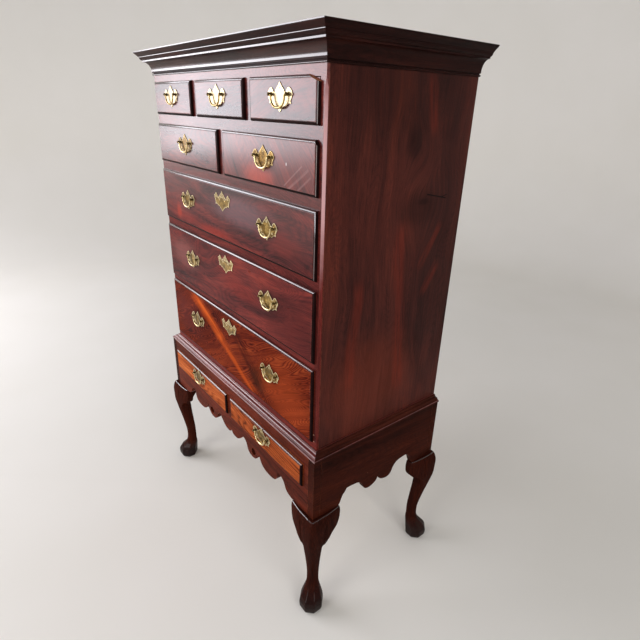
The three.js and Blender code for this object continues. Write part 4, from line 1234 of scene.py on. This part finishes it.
escutcheon = {
    "outline": [
        (0, 28.5, True), (3.2, 23.5), (6.5, 20.3), (10, 18.8), (12.5, 16, True), (14.5, 12.8), (17.5, 12),
        (20.4, 9.8), (22.5, 7.2, True), (25.5, 6.5), (28.8, 9), (31.2, 13), (34.4, 17), (38.5, 20.5, True),
        (41.5, 16.5), (46, 13.4), (50.5, 11.5, True), (49, 6), (46, 1), (43.5, -4), (42, -9),
        (42.5, -15.5, True), (37, -13.5), (32, -14), (28, -17.5, True), (23, -17.5), (18, -19), (12, -23),
        (6, -27), (0, -32.5, True),
    ],
    "holes": [(16.5, 5.5, 3.2), (6.5, 11.0, 2.2), (38.5, 9.0, 2.4)],
    "pins": [(17, -0.5), (38.5, 16.5), (41, -12.5), (17.5, 9.9)],
    "pinRadius": 1.6,
    "keyRadius": 2.8,
    "keyTop": 18.0,
    "keyDrop": 8.5,
    "keyNeck": 2.2,
    "keySlot": (1.3, 1.5),  # half widths of its slot at the foot and at the neck
    "heights": {"long_upper": 1.298, "long_middle": 1.095, "long_lower": 0.867},
}


def curveMesh(name, splines, cyclic, settings):
    # Mesh of smooth splines, whose points are (place in mm, handle kind, radius)
    data = bpy.data.curves.new(name, "CURVE")
    data.resolution_u = 6
    for key, value in settings.items():
        setattr(data, key, value)
    for points in splines:
        spline = data.splines.new("BEZIER")
        spline.bezier_points.add(len(points) - 1)
        spline.use_cyclic_u = cyclic
        for point, (place, kind, radius) in zip(spline.bezier_points, points):
            point.co = Vector(place) * millimetre
            point.radius = radius
            point.handle_left_type = point.handle_right_type = kind
    return evaluatedMesh(linkObject(name, data))


def mirroredOutline(half):
    return half + [(-x, z, *cusp) for x, z, *cusp in reversed(half[1:-1])]


def plateHoles(holes):
    # Round holes on both sides of the middle, given by x, z and radius
    return [
        arcPoints((side * x, z), radius, 0, 270, 3)
        for x, z, radius in holes for side in ((1, -1) if x else (1,))
    ]


def cutoutPlate(name, outlines):
    # Flat plate with holes and rounded edges, facing -y
    splines = [
        [((x, z, 0), "VECTOR" if cusp else "AUTO", 1) for x, z, *cusp in outline] for outline in outlines
    ]
    mesh = curveMesh(name, splines, True, {
        "dimensions": "2D",
        "fill_mode": "BOTH",
        "extrude": (plate["thickness"] / 2 - plate["rounding"]) * millimetre,
        "bevel_depth": plate["rounding"] * millimetre,
        "bevel_resolution": 2,
    })
    mesh.transform(Matrix.Rotation(radians(90), 4, "X"))
    return rubbedAndLitPlate(mesh)


def rubbedAndLitPlate(mesh):
    # Divides a plate's face finely, bright near its rim, wear and a painted highlight, and dark on its sides,
    # grime and painted shade
    bm = newShape(mesh)
    bmesh.ops.remove_doubles(bm, verts=bm.verts, dist=mergeReach / 5)
    bm.normal_update()
    rim = []
    for vert in bm.verts:
        flatness = [abs(f.normal.y) > 0.98 for f in vert.link_faces]
        if vert.co.y < 0 and any(flatness) and not all(flatness):
            rim.append(vert.co.copy())
    tree = KDTree(len(rim))
    for number, place in enumerate(rim):
        tree.insert(place, number)
    tree.balance()
    reach = plate["rubbed"] * millimetre
    for _ in range(4):
        long = once(e for f in bm.faces if f.normal.y < -0.98 for e in f.edges if e.calc_length() > reach)
        bmesh.ops.subdivide_edges(bm, edges=long, cuts=1)
        bmesh.ops.triangulate(bm, faces=[f for f in bm.faces if f.normal.y < -0.98 and len(f.verts) > 3])
    layer = wearAndSheenLayer(bm)
    bm.normal_update()
    for face in bm.faces:
        # Sides take the dark brass: grime and painted shade
        if abs(face.normal.y) < 0.3:
            face.material_index = 1
        for loop in face.loops:
            away = tree.find(loop.vert.co)[2]
            loop[layer] = max(0.0, 1 - away / reach) ** 1.5
    return meshOf(mesh.name, bm)


def spunPost():
    # Turned post with a collar, a waist and a round head, about -Y from the plate, bored for the bail's pin
    bm = bmesh.new()
    points = [(radius * millimetre, -out * millimetre, 0) for radius, out in posts["profile"]]
    spinProfile(bm, points, (0, 1, 0), tau, posts["sides"], use_merge=True)
    bmesh.ops.remove_doubles(bm, verts=bm.verts, dist=mergeReach)
    bmesh.ops.recalc_face_normals(bm, faces=bm.faces)
    turned = linkObject("post", meshOf("post", bm))
    bm = bmesh.new()
    radius = posts["bore"] * millimetre
    bore = bmesh.ops.create_cone(
        bm, cap_ends=True, segments=posts["sides"], radius1=radius, radius2=radius, depth=0.02,
    )["verts"]
    bmesh.ops.rotate(bm, verts=bore, cent=(0, 0, 0), matrix=Matrix.Rotation(radians(90), 3, "Y"))
    bmesh.ops.translate(bm, verts=bore, vec=(0, -posts["stand"] * millimetre, 0))
    tool = linkObject("bore", meshOf("bore", bm))
    combine(turned, tool, "DIFFERENCE")
    mesh = evaluatedMesh(turned)
    bpy.data.objects.remove(tool)
    return cleanMesh(mesh)


def bentBail():
    # Bail with its pins along x through the origin, thickest in the middle
    whole = bail["path"] + [(-x, z, r) for x, z, r in reversed(bail["path"][:-1])]
    return cleanMesh(curveMesh("bail", [[((x, 0, z), "AUTO", r) for x, z, r in whole]], False, {
        "dimensions": "3D", "bevel_depth": millimetre, "bevel_resolution": 5, "use_fill_caps": True,
    }))


def joinMesh(bm, mesh, offset, finish=None):
    before, facesBefore = len(bm.verts), len(bm.faces)
    bm.from_mesh(mesh)
    bm.verts.ensure_lookup_table()
    bm.faces.ensure_lookup_table()
    bmesh.ops.translate(bm, verts=bm.verts[before:], vec=offset)
    if finish is not None:
        for face in bm.faces[facesBefore:]:
            face.material_index = finish


plateMesh = cutoutPlate("plate", [mirroredOutline(plate["outline"]), *plateHoles(plate["holes"])])
postMesh = spunPost()
bailMesh = bentBail()


def buildHandle(node):
    name = node.replace("bail_", "")
    plateNode = f"handle_plate_{name}"
    plateLow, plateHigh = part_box(plateNode)
    swingLow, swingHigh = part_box(node)
    middle = (plateLow.x + plateHigh.x) / 2
    pivotZ = swingLow.z + (bail["drop"] + bail["middle"]) * millimetre
    where = Vector((middle, plateHigh.y + seatGap, pivotZ))
    bm = newShape()
    joinMesh(bm, plateMesh, where - Vector((0, seatGap + plate["thickness"] * millimetre / 2, 0)))
    for side in (-1, 1):
        joinMesh(bm, postMesh, where + Vector((side * posts["apart"] / 2 * millimetre, 0, 0)), finish=2)
    bmesh.ops.recalc_face_normals(bm, faces=bm.faces)
    finishPiece(f"{name}_plate", bm, [plateBrass, grimedAndShadedBrass, postBrass], plateNode, 40)
    bm = newShape()
    joinMesh(bm, bailMesh, Vector((middle, (swingLow.y + swingHigh.y) / 2, pivotZ)))
    bmesh.ops.recalc_face_normals(bm, faces=bm.faces)
    finishPiece(f"{name}_swinging_bail", bm, [handledAndLitBrass], node, 60)


for node in frame["nodes"]:
    if node.startswith("bail_"):
        buildHandle(node)


def buildEscutcheon(name, height):
    radius, top = escutcheon["keyRadius"], escutcheon["keyTop"]
    foot, neck = top - escutcheon["keyDrop"], top - escutcheon["keyNeck"]
    footHalf, neckHalf = escutcheon["keySlot"]
    keyhole = [
        (-footHalf, foot, True), (footHalf, foot, True), (neckHalf, neck, True),
        (radius, top), (0, top + radius), (-radius, top), (-neckHalf, neck, True),
    ]
    outlines = [mirroredOutline(escutcheon["outline"]), keyhole, *plateHoles(escutcheon["holes"])]
    thickness = plate["thickness"] * millimetre
    where = Vector((0, chestFront - front["lip"] - seatGap / 6, height))
    bm = newShape()
    joinMesh(bm, cutoutPlate(f"{name}_escutcheon", outlines), where - Vector((0, thickness / 2, 0)))
    for x, z in escutcheon["pins"]:
        for side in (-1, 1):
            head = bmesh.ops.create_uvsphere(
                bm, u_segments=14, v_segments=8, radius=escutcheon["pinRadius"] * millimetre,
            )["verts"]
            bmesh.ops.scale(bm, verts=head, vec=(1, 0.5, 1))
            offset = Vector((side * x * millimetre, -thickness, z * millimetre))
            bmesh.ops.translate(bm, verts=head, vec=where + offset)
            # Pin heads bright: wear and a painted highlight
            markWearAndSheen(bm, {face for vert in head for face in vert.link_faces}, 1.0)
    bmesh.ops.recalc_face_normals(bm, faces=bm.faces)
    finishPiece(
        f"{name}_escutcheon", bm, [plateBrass, grimedAndShadedBrass], f"drawer_front_{name}", 40,
        addedSlot="old_brass",
    )


for name, height in escutcheon["heights"].items():
    buildEscutcheon(name, height)
print("brasses made")


# Floor, backdrop and light

stage = {
    "radius": 5.0,
    "sweep": 1.2,
    "top": 4.5,
    "bends": 10,
    "turned": 30,  # where the curved wall starts, and how far round it goes
    "arc": 200,
    "steps": 80,
    "floorHalf": 6.0,
    "sink": 0.0004,
}


def plainStage():
    material, place = newMaterial("studio_paper")
    shadeWith(place, {
        "Base Color": toneRamp(noiseField(place, 1.5), (0.3, 0.7), [(238, 235, 228), (241, 238, 232)]),
        "Roughness": 0.9,
        "Specular IOR Level": 0.1,
    })
    bm = bmesh.new()
    flat, sweep = stage["radius"] - stage["sweep"], stage["sweep"]
    curve = arcPoints((flat, sweep), sweep, -90, 0, stage["bends"])
    turn = Matrix.Rotation(radians(stage["turned"]), 3, "Z")
    points = [turn @ Vector((r, 0, z)) for r, z in ((0, 0), *curve, (stage["radius"], stage["top"]))]
    spinProfile(bm, points, (0, 0, 1), radians(stage["arc"]), stage["steps"])
    made = bmesh.ops.create_grid(bm, x_segments=1, y_segments=1, size=stage["floorHalf"])
    bmesh.ops.translate(bm, verts=made["verts"], vec=(0, 0, -stage["sink"]))
    bmesh.ops.recalc_face_normals(bm, faces=bm.faces)
    mesh = meshOf("studio_floor", bm)
    mesh.materials.append(material)
    mesh.polygons.foreach_set("use_smooth", [True] * len(mesh.polygons))
    linkObject("studio_floor", mesh)


air = {"tone": (0.95, 0.96, 1.0, 1), "strength": 0.3}
lamps = {
    "softLeft": {
        "place": (-3.3, -3.05, 2.25), "aim": (0, -0.4, 1.35), "size": (3.5, 2.5),
        "power": 159, "tone": (0.94, 0.93, 1.0),
    },
    "softFront": {
        "place": (0.6, -4.2, 1.9), "aim": (0, 0, 1.0), "size": (2.0, 2.9),
        "power": 62, "tone": (1.0, 0.98, 0.95),
    },
    "softRight": {
        "place": (3.6, -0.6, 3.0), "aim": (0.3, 0, 0.8), "size": (2.0, 2.0),
        "power": 40, "tone": (1.0, 0.98, 0.96),
    },
}


def buildLamps():
    for name, lamp in lamps.items():
        data = bpy.data.lights.new(name, "AREA")
        data.shape = "RECTANGLE"
        data.size, data.size_y = lamp["size"]
        data.energy = lamp["power"]
        data.color = lamp["tone"]
        holder = linkObject(name, data)
        holder.location = lamp["place"]
        aim = Vector(lamp["aim"]) - Vector(lamp["place"])
        holder.rotation_euler = aim.to_track_quat("-Z", "Y").to_euler()
    world = bpy.data.worlds.new("studio_air")
    world.use_nodes = True
    background = world.node_tree.nodes["Background"]
    background.inputs["Color"].default_value = air["tone"]
    background.inputs["Strength"].default_value = air["strength"]
    scene.world = world


plainStage()
buildLamps()
print("stage and lamps set")
